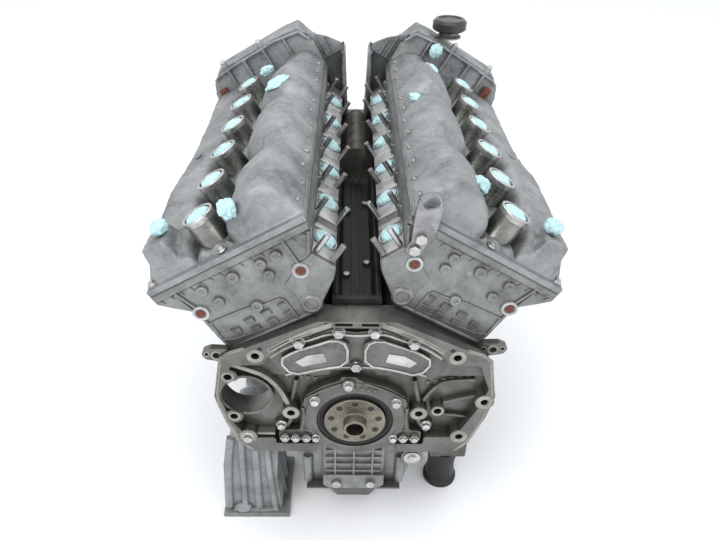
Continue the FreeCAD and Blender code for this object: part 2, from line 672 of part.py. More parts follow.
for index, z in enumerate((-70, -86, -102, -118)):
    rear_ribs.append(box(f"sump_rib_level_{index}", (-43, 2.5, z - 1.5), (86, 5, 3)))
plug_boss = cylinder("sump_plug_boss", 17, 18, (91, 8, -91), ALONG_Y)
post_left = cylinder("sump_post_left", 8, 62, (-72, 18, "sump_joint"))
post_right = cylinder("sump_post_right", 8, 62, (73, 18, "sump_joint"))
sump_cavity = prism("sump_cavity", [(-92, size.rail_level + 1), (-78, size.rail_level - 16),
                                    (-68, size.sump_joint - 1),
                                    (70, size.sump_joint - 1), (84, size.rail_level - 16),
                                    (92, size.rail_level + 1)],
                    SUMP_REAR + 2 * size.sump_wall, SUMP_FRONT - SUMP_REAR - 3 * size.sump_wall)
SUMP_BOLTS = [(-27, size.sump_joint + 15), (27, size.sump_joint + 15)]
foot_holes = [
    cylinder(f"sump_foot_hole_{index}", "bolt_radius + 0.3", 9, (x, -1, z), ALONG_Y)
    for index, (x, z) in enumerate(SUMP_BOLTS)
]
plug_seat = cylinder("sump_plug_seat", 10.3, 13, (91, 7, -91), ALONG_Y)
node("upper_sump", cut("upper_sump", fuse("upper_sump_solid", [upper_shell, ribbed_box, ribbed_lip,
                                                               rear_foot, plug_boss, post_left,
                                                                post_right] + rear_ribs),
                       [sump_cavity, plug_seat] + foot_holes))
node("sump_bolts", group("sump_bolts", [
    bolt(f"sump_bolt_{index}", (x, 0, z), TOWARDS_Y, 7) for index, (x, z) in enumerate(SUMP_BOLTS)]))
node("sump_level_plug", turned("sump_level_plug", [
    (0, 4), (6, 4), (6, 6), (13, 6), (13, 7.8), (10, 7.8), (10, 18), (0, 18)]))
nodes["sump_level_plug"].Placement = FreeCAD.Placement(VECTOR(91, 0, -91), FreeCAD.Rotation())

PAN_REAR = 10
PAN_FRONT = 470


def pan_shape():
    """The lower sump: a pressed pan with a sloping rear face and a flat bottom."""
    joint = size.sump_joint - 0.3

    def shell(grow, top, bottom):
        upper = [(-46 - grow, PAN_REAR - grow), (46 + grow, PAN_REAR - grow), (70 + grow, 60 - grow),
                 (70 + grow, PAN_FRONT + grow), (-70 - grow, PAN_FRONT + grow), (-70 - grow, 60 - grow)]
        lower = [(-27 - grow, 74 - grow), (30 + grow, 74 - grow), (46 + grow, 100 - grow),
                 (46 + grow, PAN_FRONT - 30 + grow), (-46 - grow, PAN_FRONT - 30 + grow),
                 (-46 - grow, 100 - grow)]
        wires = []
        for corners, z in ((upper, top), (lower, bottom)):
            points = [VECTOR(x, y, z) for x, y in corners]
            wires.append(Part.makePolygon(points + points[:1]))
        return Part.makeLoft(wires, True, True)

    rim = Part.makeBox(150, SUMP_FRONT - PAN_REAR + 4, size.plate_wall + 1,
                       VECTOR(-75, PAN_REAR - 8, joint - size.plate_wall - 1))
    outside = shell(0, joint, size.floor_level).fuse(rim)
    return outside.cut(shell(-size.plate_wall, joint + 0.1, size.floor_level + size.plate_wall))


node("lower_sump", made("lower_sump", pan_shape()))
node("oil_pickup", fuse("oil_pickup", [
    cylinder("pickup_pipe", 9, 121, (13, 300, "floor_level + 26")),
    cylinder("pickup_strainer", 24, 10, (13, 300, "floor_level + 18"))]))
pump_body = prism("oil_pump_body", [(-11, -132.6, 4), (-11, -92, 8), (37, -92, 8), (37, -132.6, 4)], 280,
                  60)
pump_neck = prism("oil_pump_neck", [(-9, -96), (-9, -50.3), (35, -50.3), (35, -96)], MAINS[3] - 11, 22)
node("oil_pump", fuse("oil_pump", [pump_body, pump_neck]))


# Heads, gaskets, camshafts and valves


HEAD_FOOT = size.deck_height + size.gasket_thick
HEAD_TOP = HEAD_FOOT + size.head_height
COVER_FOOT = HEAD_TOP + size.gasket_thick


def head_reach(side):
    """Start and length of a head in its bank's frame."""
    forward = size.bank_offset if side > 0 else 0
    return size.head_rear, size.head_front - forward - size.head_rear


def head_profile(side):
    return across(side, [
        (-size.deck_outer, HEAD_FOOT), (-90, HEAD_FOOT + 42, 6), (-90, HEAD_TOP - 47, 10),
        (-112, HEAD_TOP - 27, 8),
        (-126, HEAD_TOP - 13, 4), (-126, HEAD_TOP), (111, HEAD_TOP), (111, HEAD_TOP - 11, 3),
        (size.port_across - 8.5, size.port_up + 16.5), (size.port_across + 8.5, size.port_up - 16.5, 2),
        (size.port_across - 1.5, size.port_up - 29.5, 6), (size.deck_inner, HEAD_FOOT),
    ])


def gallery(side, name, corners, index):
    """A camshaft pocket between two bearing walls."""
    start = size.first_bore - size.bore_pitch / 2 + index * size.bore_pitch + 9
    return prism(f"{name}_{side}_{index}", across(side, corners), start, size.bore_pitch - 18)


CAM = size.cam_height
INTAKE_GALLERY = [(26, CAM - 34), (64, CAM - 32, 6), (80, CAM - 12, 6), (100, CAM + 4, 4),
                  (100, HEAD_TOP + 1),
                  (26, HEAD_TOP + 1)]
EXHAUST_GALLERY = [(-42, CAM - 36), (-82, CAM - 36, 4), (-84, CAM - 20, 6), (-108, CAM + 2, 6),
                   (-112, HEAD_TOP + 1),
                   (-42, HEAD_TOP + 1)]
CHAMBER = [(-36, HEAD_FOOT - 1), (36, HEAD_FOOT - 1), (36, HEAD_FOOT + 14), (0, HEAD_FOOT + 16),
           (-36, HEAD_FOOT + 14)]
INTAKE_SLOT = [(10, HEAD_FOOT + 4), (25, HEAD_FOOT + 4), (58, CAM - 30), (44, CAM - 30)]
EXHAUST_SLOT = [(-10, HEAD_FOOT + 4), (-24, HEAD_FOOT + 4), (-68, CAM - 30), (-54, CAM - 30)]


def port_turn(side):
    """Turn that points a cylinder's axis out of the intake flange."""
    return FreeCAD.Rotation(VECTOR(0, 1, 0), -side * 62.7)


def head_tools(side):
    tools = []
    for index in CYLINDERS:
        y = size.first_bore + index * size.bore_pitch
        tools.append(prism(f"chamber_{side}_{index}", across(side, CHAMBER), y - 36, 72))
        tools.append(gallery(side, "intake_gallery", INTAKE_GALLERY, index))
        tools.append(gallery(side, "exhaust_gallery", EXHAUST_GALLERY, index))
        tools.append(prism(f"intake_slot_{side}_{index}", across(side, INTAKE_SLOT), y - 25, 50))
        tools.append(prism(f"exhaust_slot_{side}_{index}", across(side, EXHAUST_SLOT), y - 24, 48))
        deep = 62
        lean = math.radians(62.7)
        base_w = size.port_across - deep * math.sin(lean)
        base_u = size.port_up - deep * math.cos(lean)
        tools.append(cylinder(f"intake_port_{side}_{index}", "port_radius", deep + 4,
                              (-side * base_w, y, base_u),
                              port_turn(side)))
        tools.append(cylinder(f"exhaust_port_{side}_{index}", 15, 64, (side * 96, y, HEAD_FOOT + 31),
                              FreeCAD.Rotation(VECTOR(0, 1, 0), -side * 78)))
        tools.append(cylinder(f"plug_well_{side}_{index}", 12, "head_height",
                              (-side * size.tube_across, y, HEAD_FOOT + 15)))
    for name, w in (("intake", size.intake_cam_across), ("exhaust", size.exhaust_cam_across)):
        tools.append(cylinder(f"{name}_cam_tunnel_{side}", "cam_journal + running_gap", 700,
                              (-side * w, "head_rear + 6", "cam_height"), ALONG_Y))
        tools.append(box(f"{name}_cam_mouth_{side}", (-side * w - 23, "head_rear + 6", "cam_height"),
                         (46, 700, 40)))
    return tools


CORE_PLUGS = [(67.5, HEAD_FOOT + 70), (-83.5, HEAD_FOOT + 75)]
HEAD_BOSSES = [(w, u, 10.5) for w, u in CORE_PLUGS] + [
    (28.7, HEAD_TOP - 23, 6.8), (29, HEAD_TOP - 42, 6.8), (-60, HEAD_TOP - 22, 6.8),
    (-51.6, HEAD_TOP - 47, 6.8),
    (-13.7, HEAD_TOP - 24, 6.5), (-12.5, HEAD_FOOT + 49, 6.5), (51, HEAD_FOOT + 16, 13),
]
LEFT_BOSS = [(52.4, HEAD_TOP - 22, 6.8)]
HEAD_PADS = [(17.8, HEAD_FOOT + 33), (17.8, HEAD_FOOT + 17), (-8.8, HEAD_FOOT + 33), (-8.8, HEAD_FOOT + 17)]

for word, side in SIDES:
    start, length = head_reach(side)
    body = prism(f"head_body_{word}", head_profile(side), start, length)
    bosses = [
        cylinder(f"head_boss_{word}_{index}", radius, 6, (-side * w, start - 3, u), ALONG_Y)
        for index, (w, u, radius) in enumerate(HEAD_BOSSES + (LEFT_BOSS if side < 0 else []))
    ]
    pads = [
        box(f"head_pad_{word}_{index}", (-side * w - 6.5, start - 2.5, u - 5), (13, 5, 10))
        for index, (w, u) in enumerate(HEAD_PADS)
    ]
    plug_holes = [
        cylinder(f"core_plug_hole_{word}_{index}", 6.2, 8, (-side * w, start - 4, u), ALONG_Y)
        for index, (w, u) in enumerate(CORE_PLUGS)
    ]
    solid = fuse(f"head_solid_{word}", [body] + bosses + pads)
    head = cut(f"cylinder_head_{word}", solid, head_tools(side) + plug_holes)
    node(f"cylinder_head_{word}", on_bank(head, side))
    holes = [(0, size.first_bore + index * size.bore_pitch, size.bore_radius + 0.5) for index in CYLINDERS]
    gasket = plate(f"head_gasket_{word}", [(-side * -size.deck_outer, start), (-side * size.deck_inner,
                                                                               start),
                                           (-side * size.deck_inner, start + length - 4),
                                           (-side * -size.deck_outer, start + length - 4)],
                   "deck_height", "gasket_thick", holes)
    node(f"head_gasket_{word}", on_bank(gasket, side))


def cam_lobe(y, width, angle):
    """One cam, its nose turned by angle, as a ten-sided prism."""
    top = size.cam_base + size.cam_lift
    points = []
    for turn, reach in ((0, top), (28, top - 1.5), (75, size.cam_base), (120, size.cam_base),
                        (160, size.cam_base),
                        (200, size.cam_base), (240, size.cam_base), (285, size.cam_base), (332, top - 1.5)):
        a = math.radians(turn + angle)
        points.append(VECTOR(reach * math.sin(a), y, reach * math.cos(a)))
    return Part.Face(Part.makePolygon(points + points[:1])).extrude(VECTOR(0, width, 0))


FIRING_LEFT = [0, 240, 120, 180, 300, 60]


def camshaft_shape(side, exhaust):
    forward = size.bank_offset if side > 0 else 0
    plane = size.chain_plane + (size.chain_step if side > 0 else 0)
    shaft = round_bar(size.cam_journal, size.first_bore - 40, plane + 10 - forward)
    lobes = []
    for index in CYLINDERS:
        middle = size.first_bore + index * size.bore_pitch
        angle = FIRING_LEFT[index] + (110 if exhaust else 0) + (30 if side > 0 else 0)
        for step in (-24, 12):
            lobes.append(cam_lobe(middle + step, 12, angle))
    return shaft.multiFuse(lobes)


for word, side in SIDES:
    forward = size.bank_offset if side > 0 else 0
    plane = size.chain_plane + (size.chain_step if side > 0 else 0)
    for kind, w in (("intake", size.intake_cam_across), ("exhaust", size.exhaust_cam_across)):
        x, z = from_bank(side, w, size.cam_height)
        shaft = made(f"camshaft_{kind}_{word}", camshaft_shape(side, kind == "exhaust"))
        shaft.Placement = FreeCAD.Placement(VECTOR(x, forward, z), bank_turn(side))
        node(f"camshaft_{kind}_{word}", shaft)
        wheel = sprocket_shape(CAM_SPROCKET, 2 * size.crank_teeth, size.cam_journal + 0.1,
                               size.chain_width - 2)
        feature = made(f"cam_sprocket_{kind}_{word}", wheel)
        feature.Placement = FreeCAD.Placement(VECTOR(x, plane - size.chain_width / 2 + 1, z),
                                              bank_turn(side))
        node(f"cam_sprocket_{kind}_{word}", feature)


def belt_edges(circles, grow):
    """The taut outline round several circles (x, z, radius), given in turning order."""
    spots = []
    count = len(circles)
    for index in range(count):
        x0, z0, r0 = circles[index]
        x1, z1, r1 = circles[(index + 1) % count]
        r0, r1 = r0 + grow, r1 + grow
        reach = math.hypot(x1 - x0, z1 - z0)
        heading = math.atan2(z1 - z0, x1 - x0) - math.pi / 2 + math.asin((r1 - r0) / reach) * -1
        spots.append((VECTOR(x0 + r0 * math.cos(heading), z0 + r0 * math.sin(heading), 0),
                      VECTOR(x1 + r1 * math.cos(heading), z1 + r1 * math.sin(heading), 0), heading))
    edges = []
    for index in range(count):
        start, finish, heading = spots[index]
        edges.append(Part.LineSegment(start, finish))
        x, z, r = circles[(index + 1) % count]
        following = spots[(index + 1) % count]
        sweep = (following[2] - heading) % (2 * math.pi)
        middle = heading + sweep / 2
        edges.append(Part.Arc(finish, VECTOR(x + (r + grow) * math.cos(middle),
                                             z + (r + grow) * math.sin(middle), 0),
                              following[0]))
    return edges


def chain_shape(side):
    """A timing chain as a smooth band that clears the teeth it runs on."""
    plane = size.chain_plane + (size.chain_step if side > 0 else 0) - size.chain_width / 2
    intake = (*from_bank(side, size.intake_cam_across, size.cam_height), CAM_SPROCKET)
    exhaust = (*from_bank(side, size.exhaust_cam_across, size.cam_height), CAM_SPROCKET)
    crank = (0, 0, CRANK_SPROCKET)
    circles = [crank, intake, exhaust] if side < 0 else [crank, exhaust, intake]
    loops = []
    for grow in (0.3, 0.3 + size.chain_thick):
        wire = Part.Wire([edge.toShape() for edge in belt_edges(circles, grow)])
        face = Part.Face(wire)
        solid = face.extrude(VECTOR(0, 0, size.chain_width))
        solid.rotate(VECTOR(0, 0, 0), VECTOR(1, 0, 0), 90)
        solid.translate(VECTOR(0, plane + size.chain_width, 0))
        loops.append(solid)
    return loops[1].cut(loops[0])


for word, side in SIDES:
    node(f"timing_chain_{word}", made(f"timing_chain_{word}", chain_shape(side)))


def poly_rod(sides, radius_low, radius_high, start, finish):
    """A tapered rod of few faces between two points."""
    axis = finish - start
    length = axis.Length
    rings = []
    for radius, level in ((radius_low, 0), (radius_high, length)):
        points = []
        for index in range(sides):
            turn = 2 * math.pi * index / sides
            points.append(VECTOR(radius * math.cos(turn), radius * math.sin(turn), level))
        rings.append(Part.makePolygon(points + points[:1]))
    rod = Part.makeLoft(rings, True, True)
    rod.Placement = FreeCAD.Placement(start, FreeCAD.Rotation(VECTOR(0, 0, 1), axis))
    return rod


def valve_shapes(side, kind):
    forward = size.bank_offset if side > 0 else 0
    sign = 1 if kind == "intake" else -1
    top_w = 51.5 if kind == "intake" else -61.5
    reach = 15 if kind == "intake" else 13
    seat = HEAD_FOOT + (9.4 if kind == "intake" else 9.2)
    solids = []
    for index in CYLINDERS:
        for step in (-18, 18):
            y = size.first_bore + index * size.bore_pitch + step + forward
            low = VECTOR(*xyz(side, sign * 19, seat, y))
            high = VECTOR(*xyz(side, top_w, CAM - 26, y))
            axis = (high - low).normalize()
            stem = poly_rod(6, 3, 3, low, high)
            disc = poly_rod(8, reach, 3, low - axis * 1.0, low + axis * 5)
            solids.append(stem.fuse(disc).removeSplitter())
    return solids


def xyz(side, w, u, y):
    x, z = from_bank(side, w, u)
    return x, y, z


for kind in ("intake", "exhaust"):
    solids = valve_shapes(-1, kind) + valve_shapes(1, kind)
    node(f"{kind}_valves", made(f"{kind}_valves", Part.makeCompound(solids)))


def motion_parts():
    """Pistons, their pins and the rod shanks, at the crank angle of rest."""
    pistons = []
    pins = []
    rods = []
    clear = size.crank_radius + size.pin_radius + 7
    for _, side in SIDES:
        forward = size.bank_offset if side > 0 else 0
        up = VECTOR(*xyz(side, 0, 1, 0))
        for index in CYLINDERS:
            y = size.first_bore + index * size.bore_pitch + forward
            swing = math.radians(THROWS[index] - side * size.bank_half_angle)
            aside = size.crank_radius * math.sin(swing)
            pin = size.crank_radius * math.cos(swing) + math.sqrt(size.rod_length ** 2 - aside ** 2)
            eye = VECTOR(*xyz(side, 0, pin, y))
            reach = VECTOR(0, 34.5, 0)
            body = poly_rod(24, size.piston_radius, size.piston_radius, eye - up * size.piston_skirt,
                            eye + up * (size.piston_crown - 0.5))
            hollow = poly_rod(8, 33, 33, eye - up * (size.piston_skirt + 1), eye + up * 20)
            seat = poly_rod(8, size.gudgeon_radius + 0.3, size.gudgeon_radius + 0.3, eye - reach * 1.02,
                            eye + reach * 1.02)
            pistons.append(body.cut(hollow).cut(seat))
            pins.append(poly_rod(8, size.gudgeon_radius, size.gudgeon_radius, eye - reach, eye + reach))
            turn = math.radians(THROWS[index])
            big = VECTOR(size.crank_radius * math.sin(turn), y, size.crank_radius * math.cos(turn))
            axis = (big - eye).normalize()
            steps = [eye + axis * step for step in range(16, int(size.rod_length))]
            foot = [point for point in steps if math.hypot(point.x, point.z) > clear][-1]
            shank = poly_rod(6, 11, 9, eye + axis * 11, foot)
            half = VECTOR(0, 13, 0)
            ring = poly_rod(12, 16, 16, eye - half, eye + half)
            eye_hole = poly_rod(8, size.gudgeon_radius + 0.3, size.gudgeon_radius + 0.3, eye - half * 1.1,
                                eye + half * 1.1)
            rods.append(ring.fuse(shank).cut(eye_hole))
    return pistons, pins, rods


pistons, pins, rods = motion_parts()
node("pistons", made("pistons", Part.makeCompound(pistons)))
node("gudgeon_pins", made("gudgeon_pins", Part.makeCompound(pins)))
node("connecting_rods", made("connecting_rods", Part.makeCompound(rods)))


# Head covers


def skin(side, name, sections):
    """A smooth solid through cross sections, each one a place along the bank and its outline."""
    wires = []
    for y, outline in sections:
        spots = [VECTOR(-side * w, y, u) for w, u in outline]
        curve = Part.BSplineCurve()
        curve.interpolate(spots)
        wires.append(Part.Wire([curve.toShape(), Part.LineSegment(spots[-1], spots[0]).toShape()]))
    return made(name, Part.makeLoft(wires, True, False))


def shrunk(outline, middle, share):
    """The outline drawn in towards a middle point, its two feet let down below the cover."""
    w0, u0 = middle
    inner = [(w0 + (w - w0) * share, u0 + (u - u0) * share) for w, u in outline]
    return [(inner[0][0], COVER_FOOT - 1)] + inner[1:-1] + [(inner[-1][0], COVER_FOOT - 1)]


HUMP = [(2, 2), (7, 27), (26, 48), (60, 60), (82, 57), (100, 32), (109, 2)]
DIP = [(20, 2), (25, 21), (38, 36), (62, 46), (84, 43), (100, 26), (109, 2)]
HUMPS_ALONG = [(28, 0.1), (42, 0.9), (96, 1), (140, 1), (174, 0.3), (210, 0), (244, 0.9), (290, 1),
               (334, 1), (364, 0.3),
               (386, 0), (414, 0.9), (455, 1), (500, 1), (532, 0.3), (560, 0), (581, 0), (602, 0)]
RIM_ALONG = {
    -1: [(30, 20), (44, 27), (60, 33), (98, 38), (157, 43), (227, 46), (262, 44), (352, 39), (517, 39),
         (590, 42)],
    1: [(30, 20), (42, 27), (70, 42), (110, 48), (200, 50), (260, 50), (313, 44), (389, 39), (517, 39),
        (590, 39)],
}


def hood_sections(shut, start, finish):
    """Outlines of the domed half; shut draws them in for the space beneath."""
    stations = [(y, share) for y, share in HUMPS_ALONG if start < y < finish - 8]
    stations = [(start, HUMPS_ALONG[0][1])] + stations + [(finish, 0)]
    sections = []
    for y, share in stations:
        outline = []
        for (w1, rise1), (w0, rise0) in zip(HUMP, DIP):
            rise = share * rise1 * size.hood_rise / 60 + (1 - share) * rise0 * size.hood_dip / 46
            outline.append((share * w1 + (1 - share) * w0, COVER_FOOT + rise))
        sections.append((y, shrunk(outline, (60, COVER_FOOT + 10), 0.885) if shut else outline))
    return sections


def rim_sections(side, shut, start, finish):
    """Outlines of the lower outer half of the cover."""
    stations = [(y, rise) for y, rise in RIM_ALONG[side] if start < y < finish - 12]
    stations = [(start, stations[0][1] - 4)] + stations + [(finish, stations[-1][1])]
    sections = []
    for y, rise in stations:
        top = COVER_FOOT + rise + size.outer_rise - 40
        outline = [(-122, COVER_FOOT + 2), (-120, top - 9), (-108, top - 1), (-84, top), (-62, top - 2),
                   (-51, COVER_FOOT + 0.6 * rise), (-46.5, COVER_FOOT + 2)]
        sections.append((y, shrunk(outline, (-84, COVER_FOOT + 9), 0.84) if shut else outline))
    return sections


def cover_cavity(side):
    """What the cover leaves free for the camshafts and the chain."""
    forward = size.bank_offset if side > 0 else 0
    finish = size.case_rear + 12 - forward
    case = [(-112, COVER_FOOT - 1), (-112, COVER_FOOT + 44, 8), (-97, size.case_top - 18, 8),
            (-84, size.case_top - 9, 8),
            (80, size.case_top - 8, 8), (102, COVER_FOOT + 46, 6), (102, COVER_FOOT - 1)]
    corner = [(60, COVER_FOOT - 1), (60, COVER_FOOT + 58, 6), (88, COVER_FOOT + 64, 8),
              (size.case_inner - 8, COVER_FOOT + 10, 6), (size.case_inner - 8, COVER_FOOT - 1)]
    return [
        skin(side, f"cover_cavity_intake_{side}", hood_sections(True, 36, finish)),
        skin(side, f"cover_cavity_exhaust_{side}", rim_sections(side, True, 38, finish)),
        prism(f"cover_cavity_case_{side}", across(side, case), size.case_rear + 6 - forward,
              size.case_front - size.case_rear - 13),
        prism(f"cover_cavity_corner_{side}", across(side, corner), size.head_front + 8 - forward,
              size.case_front - size.head_front - 16),
    ]


def vertical(side, x, z):
    """Where a point of the engine lies in a bank's own frame, and how upright stands there."""
    w, u = -side * x * math.cos(BANK) + z * math.sin(BANK), side * x * math.sin(BANK) + z * math.cos(BANK)
    return -side * w, u, FreeCAD.Rotation(VECTOR(0, 1, 0), -side * size.bank_half_angle)


BANK = math.radians(size.bank_half_angle)
FILLER_SEAT = size.filler_mouth - 14
for word, side in SIDES:
    forward = size.bank_offset if side > 0 else 0
    start = size.head_rear
    front = size.case_front - forward
    rear = size.case_rear - forward
    flange = prism(f"cover_flange_{word}", across(side, [
        (-126, COVER_FOOT), (-126, COVER_FOOT + size.cover_flange, 2),
        (111, COVER_FOOT + size.cover_flange, 2),
        (111, COVER_FOOT)]), start, front - start)
    hood = skin(side, f"cover_hood_{word}", hood_sections(False, 28, rear + 5))
    outer = skin(side, f"cover_outer_{word}", rim_sections(side, False, 30, rear + 5))
    case = prism(f"cover_case_{word}", across(side, [
        (-118, COVER_FOOT + 2), (-118, COVER_FOOT + 48, 8), (-103, size.case_top - 11, 8),
        (-86, size.case_top - 2, 8),
        (88, size.case_top, 10), (109, COVER_FOOT + 50, 8), (109, COVER_FOOT + 2)]),
        rear, size.case_front - size.case_rear)
    corner = prism(f"cover_corner_{word}", across(side, [
        (60, COVER_FOOT), (60, size.case_top - 8, 6), (92, size.case_top - 4, 10),
        (size.case_inner, COVER_FOOT + 13, 8),
        (size.case_inner - 5, COVER_FOOT)]), size.head_front + 0.3 - forward,
        size.case_front - size.head_front - 0.3)
    lumps = []
    edges = sorted((-side * -114, -side * -62))
    lumps.append(frustum(f"cover_outer_lump_{word}", (edges[0], 32, COVER_FOOT + 20),
                         (edges[1], 94, COVER_FOOT + 55), (8, 9)))
    for index, w in enumerate((-66, -28, 16, 62)):
        lumps.append(box(f"case_rib_{word}_{index}", (-side * w - 2, rear - 4, COVER_FOOT + 30),
                         (4, 8, size.case_rise - 34)))
    for index, w in enumerate((-70, 14)):
        lumps.append(cylinder(f"case_post_{word}_{index}", 6, 18, (-side * w, rear + 9, "case_top - 9")))
    lumps.append(cylinder(f"cover_post_{word}", 5, 30, (side * 92, 325, COVER_FOOT + 14)))
    if side > 0:
        x, z, upright = vertical(side, size.filler_across, FILLER_SEAT - 40)
        lumps.append(cylinder("filler_boss", "neck_radius + 3", 40, (x, size.filler_along - forward, z),
                              upright))
    collars = [
        cylinder(f"tube_collar_{word}_{index}", "tube_radius + 4", 16,
                 (-side * size.tube_across, size.first_bore + index * size.bore_pitch, COVER_FOOT))
        for index in CYLINDERS
    ]
    tube_holes = [
        cylinder(f"tube_hole_{word}_{index}", "tube_radius + 0.2", 40,
                 (-side * size.tube_across, size.first_bore + index * size.bore_pitch, COVER_FOOT - 2))
        for index in CYLINDERS
    ]
    if side > 0:
        x, z, upright = vertical(side, size.filler_across, FILLER_SEAT - 44)
        tube_holes.append(cylinder("filler_way", "neck_radius - 6", 60, (x, size.filler_along - forward,
                                                                         z), upright))
        x, z, upright = vertical(side, size.filler_across, FILLER_SEAT)
        tube_holes.append(cylinder("filler_face", "neck_radius + 3.2", 20,
                                   (x, size.filler_along - forward, z), upright))
    solid = fuse(f"cover_solid_{word}", [flange, hood, outer, case, corner] + lumps + collars)
    cover = cut(f"head_cover_{word}", solid, cover_cavity(side) + tube_holes)
    node(f"head_cover_{word}", on_bank(cover, side))
    step = size.head_front + 0.3 - forward
    reach = size.case_inner - 5
    outside = [(-126, start), (111, start), (111, step), (reach, step), (reach, front), (-126, front)]
    ring = plate(f"cover_gasket_outer_{word}", [(-side * w, y) for w, y in outside], HEAD_TOP,
                 "gasket_thick")
    inside = [(-112, start + 10), (101, start + 10), (101, step + 7), (reach - 7, step + 7),
              (reach - 7, front - 7), (-112, front - 7)]
    hole = plate(f"cover_gasket_inner_{word}", [(-side * w, y) for w, y in inside], HEAD_TOP - 1, 4)
    node(f"cover_gasket_{word}", on_bank(cut(f"cover_gasket_{word}", ring, [hole]), side))


def bank_set(name, build):
    """One node for the like pieces of both banks."""
    halves = [on_bank(group(f"{name}_{word}", build(side)), side) for word, side in SIDES]
    return node(name, group(name, halves))


def tubes(side):
    solids = []
    for index in CYLINDERS:
        at = (-side * size.tube_across, size.first_bore + index * size.bore_pitch,
              HEAD_TOP + size.gasket_thick + 0.2)
        length = size.tube_mouth - HEAD_TOP - size.gasket_thick - 0.2
        tube = cylinder(f"tube_{side}_{index}", "tube_radius", length, at)
        bore = cylinder(f"tube_bore_{side}_{index}", "tube_bore", length, (at[0], at[1], at[2] + 14))
        solids.append(cut(f"tube_open_{side}_{index}", tube, [bore]))
    return solids


bank_set("spark_plug_tubes", tubes)

CAM_CAP_AT = [size.first_bore + (index - 0.5) * size.bore_pitch for index in range(7)]


def cam_caps(side):
    """Bearing caps of both camshafts of a bank."""
    solids = []
    for name, w in (("intake", size.intake_cam_across), ("exhaust", size.exhaust_cam_across)):
        for index, y in enumerate(CAM_CAP_AT):
            low = y - 7 if index else size.head_rear + 8
            top = HEAD_TOP - 0.4
            solids.append(prism(f"cam_cap_{name}_{side}_{index}", [
                (-side * w - 22.7, size.cam_height + 0.2), (-side * w - 22.7, top - 8),
                (-side * w - 12, top),
                (-side * w + 12, top), (-side * w + 22.7, top - 8),
                (-side * w + 22.7, size.cam_height + 0.2)],
                low, y + 7 - low))
    caps = group(f"cam_cap_set_{side}", solids)
    journals = [
        cylinder(f"cam_cap_bore_{name}_{side}", "cam_journal + running_gap", 700,
                 (-side * w, 0, "cam_height"), ALONG_Y)
        for name, w in (("intake", size.intake_cam_across), ("exhaust", size.exhaust_cam_across))
    ]
    return [cut(f"cam_caps_cut_{side}", caps, journals)]


bank_set("camshaft_caps", cam_caps)


# Small pieces of the heads and covers


def out_of_flange(side, along, offset, y, length, radius, name, sunk=0.0):
    """A bar square to the intake flange, offset from the line of its ports."""
    lean = math.radians(62.7)
    w = size.port_across - offset * math.cos(lean) - sunk * math.sin(lean)
    u = size.port_up + offset * math.sin(lean) - sunk * math.cos(lean)
    return cylinder(name, radius, length, (-side * w, y, u), port_turn(side))


STUDS = [(27, 12.5), (121, -16.5), (222, 12.5), (319, -16.5), (411, 12.5), (517, -16.5), (600, 12.5)]
bank_set("intake_studs", lambda side: [
    out_of_flange(side, 0, offset, y, "stud_stand", "stud_radius", f"intake_stud_{side}_{index}", -0.1)
    for index, (y, offset) in enumerate(STUDS)])
bank_set("intake_port_plugs", lambda side: [
    out_of_flange(side, 0, 0, size.first_bore + index * size.bore_pitch, 16, "port_radius - 1",
                  f"port_plug_{side}_{index}", 12)
    for index in CYLINDERS])
bank_set("tube_plugs", lambda side: [
    cylinder(f"tube_plug_{side}_{index}", "tube_bore - 1", 22,
             (-side * size.tube_across, size.first_bore + index * size.bore_pitch, "tube_mouth - 14"))
    for index in CYLINDERS])
bank_set("core_plugs", lambda side: [
    cylinder(f"core_plug_{side}_{index}", 6, 7, (-side * w, "head_rear - 3.5", u), ALONG_Y)
    for index, (w, u) in enumerate(CORE_PLUGS)])

EYE_OUTLINE = [(-72, 81, 8), (-72, 125, 8), (-84, 156, 14), (-101, 175, 10), (-118, 156, 14),
               (-106, 127, 8), (-92, 99, 8),
               (-92, 81, 8)]
EYE_BOLTS = [(-82, HEAD_FOOT + 91), (-84, HEAD_FOOT + 109)]
eye_plate = prism("lifting_eye_plate", [(x, HEAD_FOOT + rise, radius) for x, rise, radius in EYE_OUTLINE],
                  12, "eye_thick",
                  [(-101, HEAD_FOOT + 156, size.eye_hole)] + [(x, z, 4.3) for x, z in EYE_BOLTS])
eye_bolts = [bolt(f"lifting_eye_bolt_{index}", (x, 12, z), TOWARDS_Y, 5.6)
             for index, (x, z) in enumerate(EYE_BOLTS)]
node("lifting_eye", on_bank(eye_plate, 1))
node("lifting_eye_bolts", on_bank(group("lifting_eye_bolts", eye_bolts), 1))

# The filler stands upright on a boss of the right cover.
WIDE = size.neck_radius
UPRIGHT = FreeCAD.Placement(VECTOR(size.filler_across, size.filler_along, FILLER_SEAT + 0.2),
                            FreeCAD.Rotation(VECTOR(1, 0, 0), 90))
node("oil_filler_neck", turned("oil_filler_neck", [
    (WIDE - 6, 0), (WIDE + 3, 0), (WIDE + 3, 3), (WIDE - 2, 5), (WIDE, 13.8), (WIDE - 4, 13.8)]))
nodes["oil_filler_neck"].Placement = UPRIGHT
CAP_EDGE = size.cap_radius
node("oil_filler_cap", turned("oil_filler_cap", [
    (0, 2), (WIDE - 8, 2), (WIDE - 6.5, 14.1), (CAP_EDGE - 3, 14.1), (CAP_EDGE, 17),
    (CAP_EDGE, 9 + size.cap_height),
    (CAP_EDGE - 5, 14 + size.cap_height), (CAP_EDGE - 9, 14 + size.cap_height),
    (CAP_EDGE - 11, 12 + size.cap_height),
    (0, 12 + size.cap_height)]))
nodes["oil_filler_cap"].Placement = UPRIGHT


# Valley


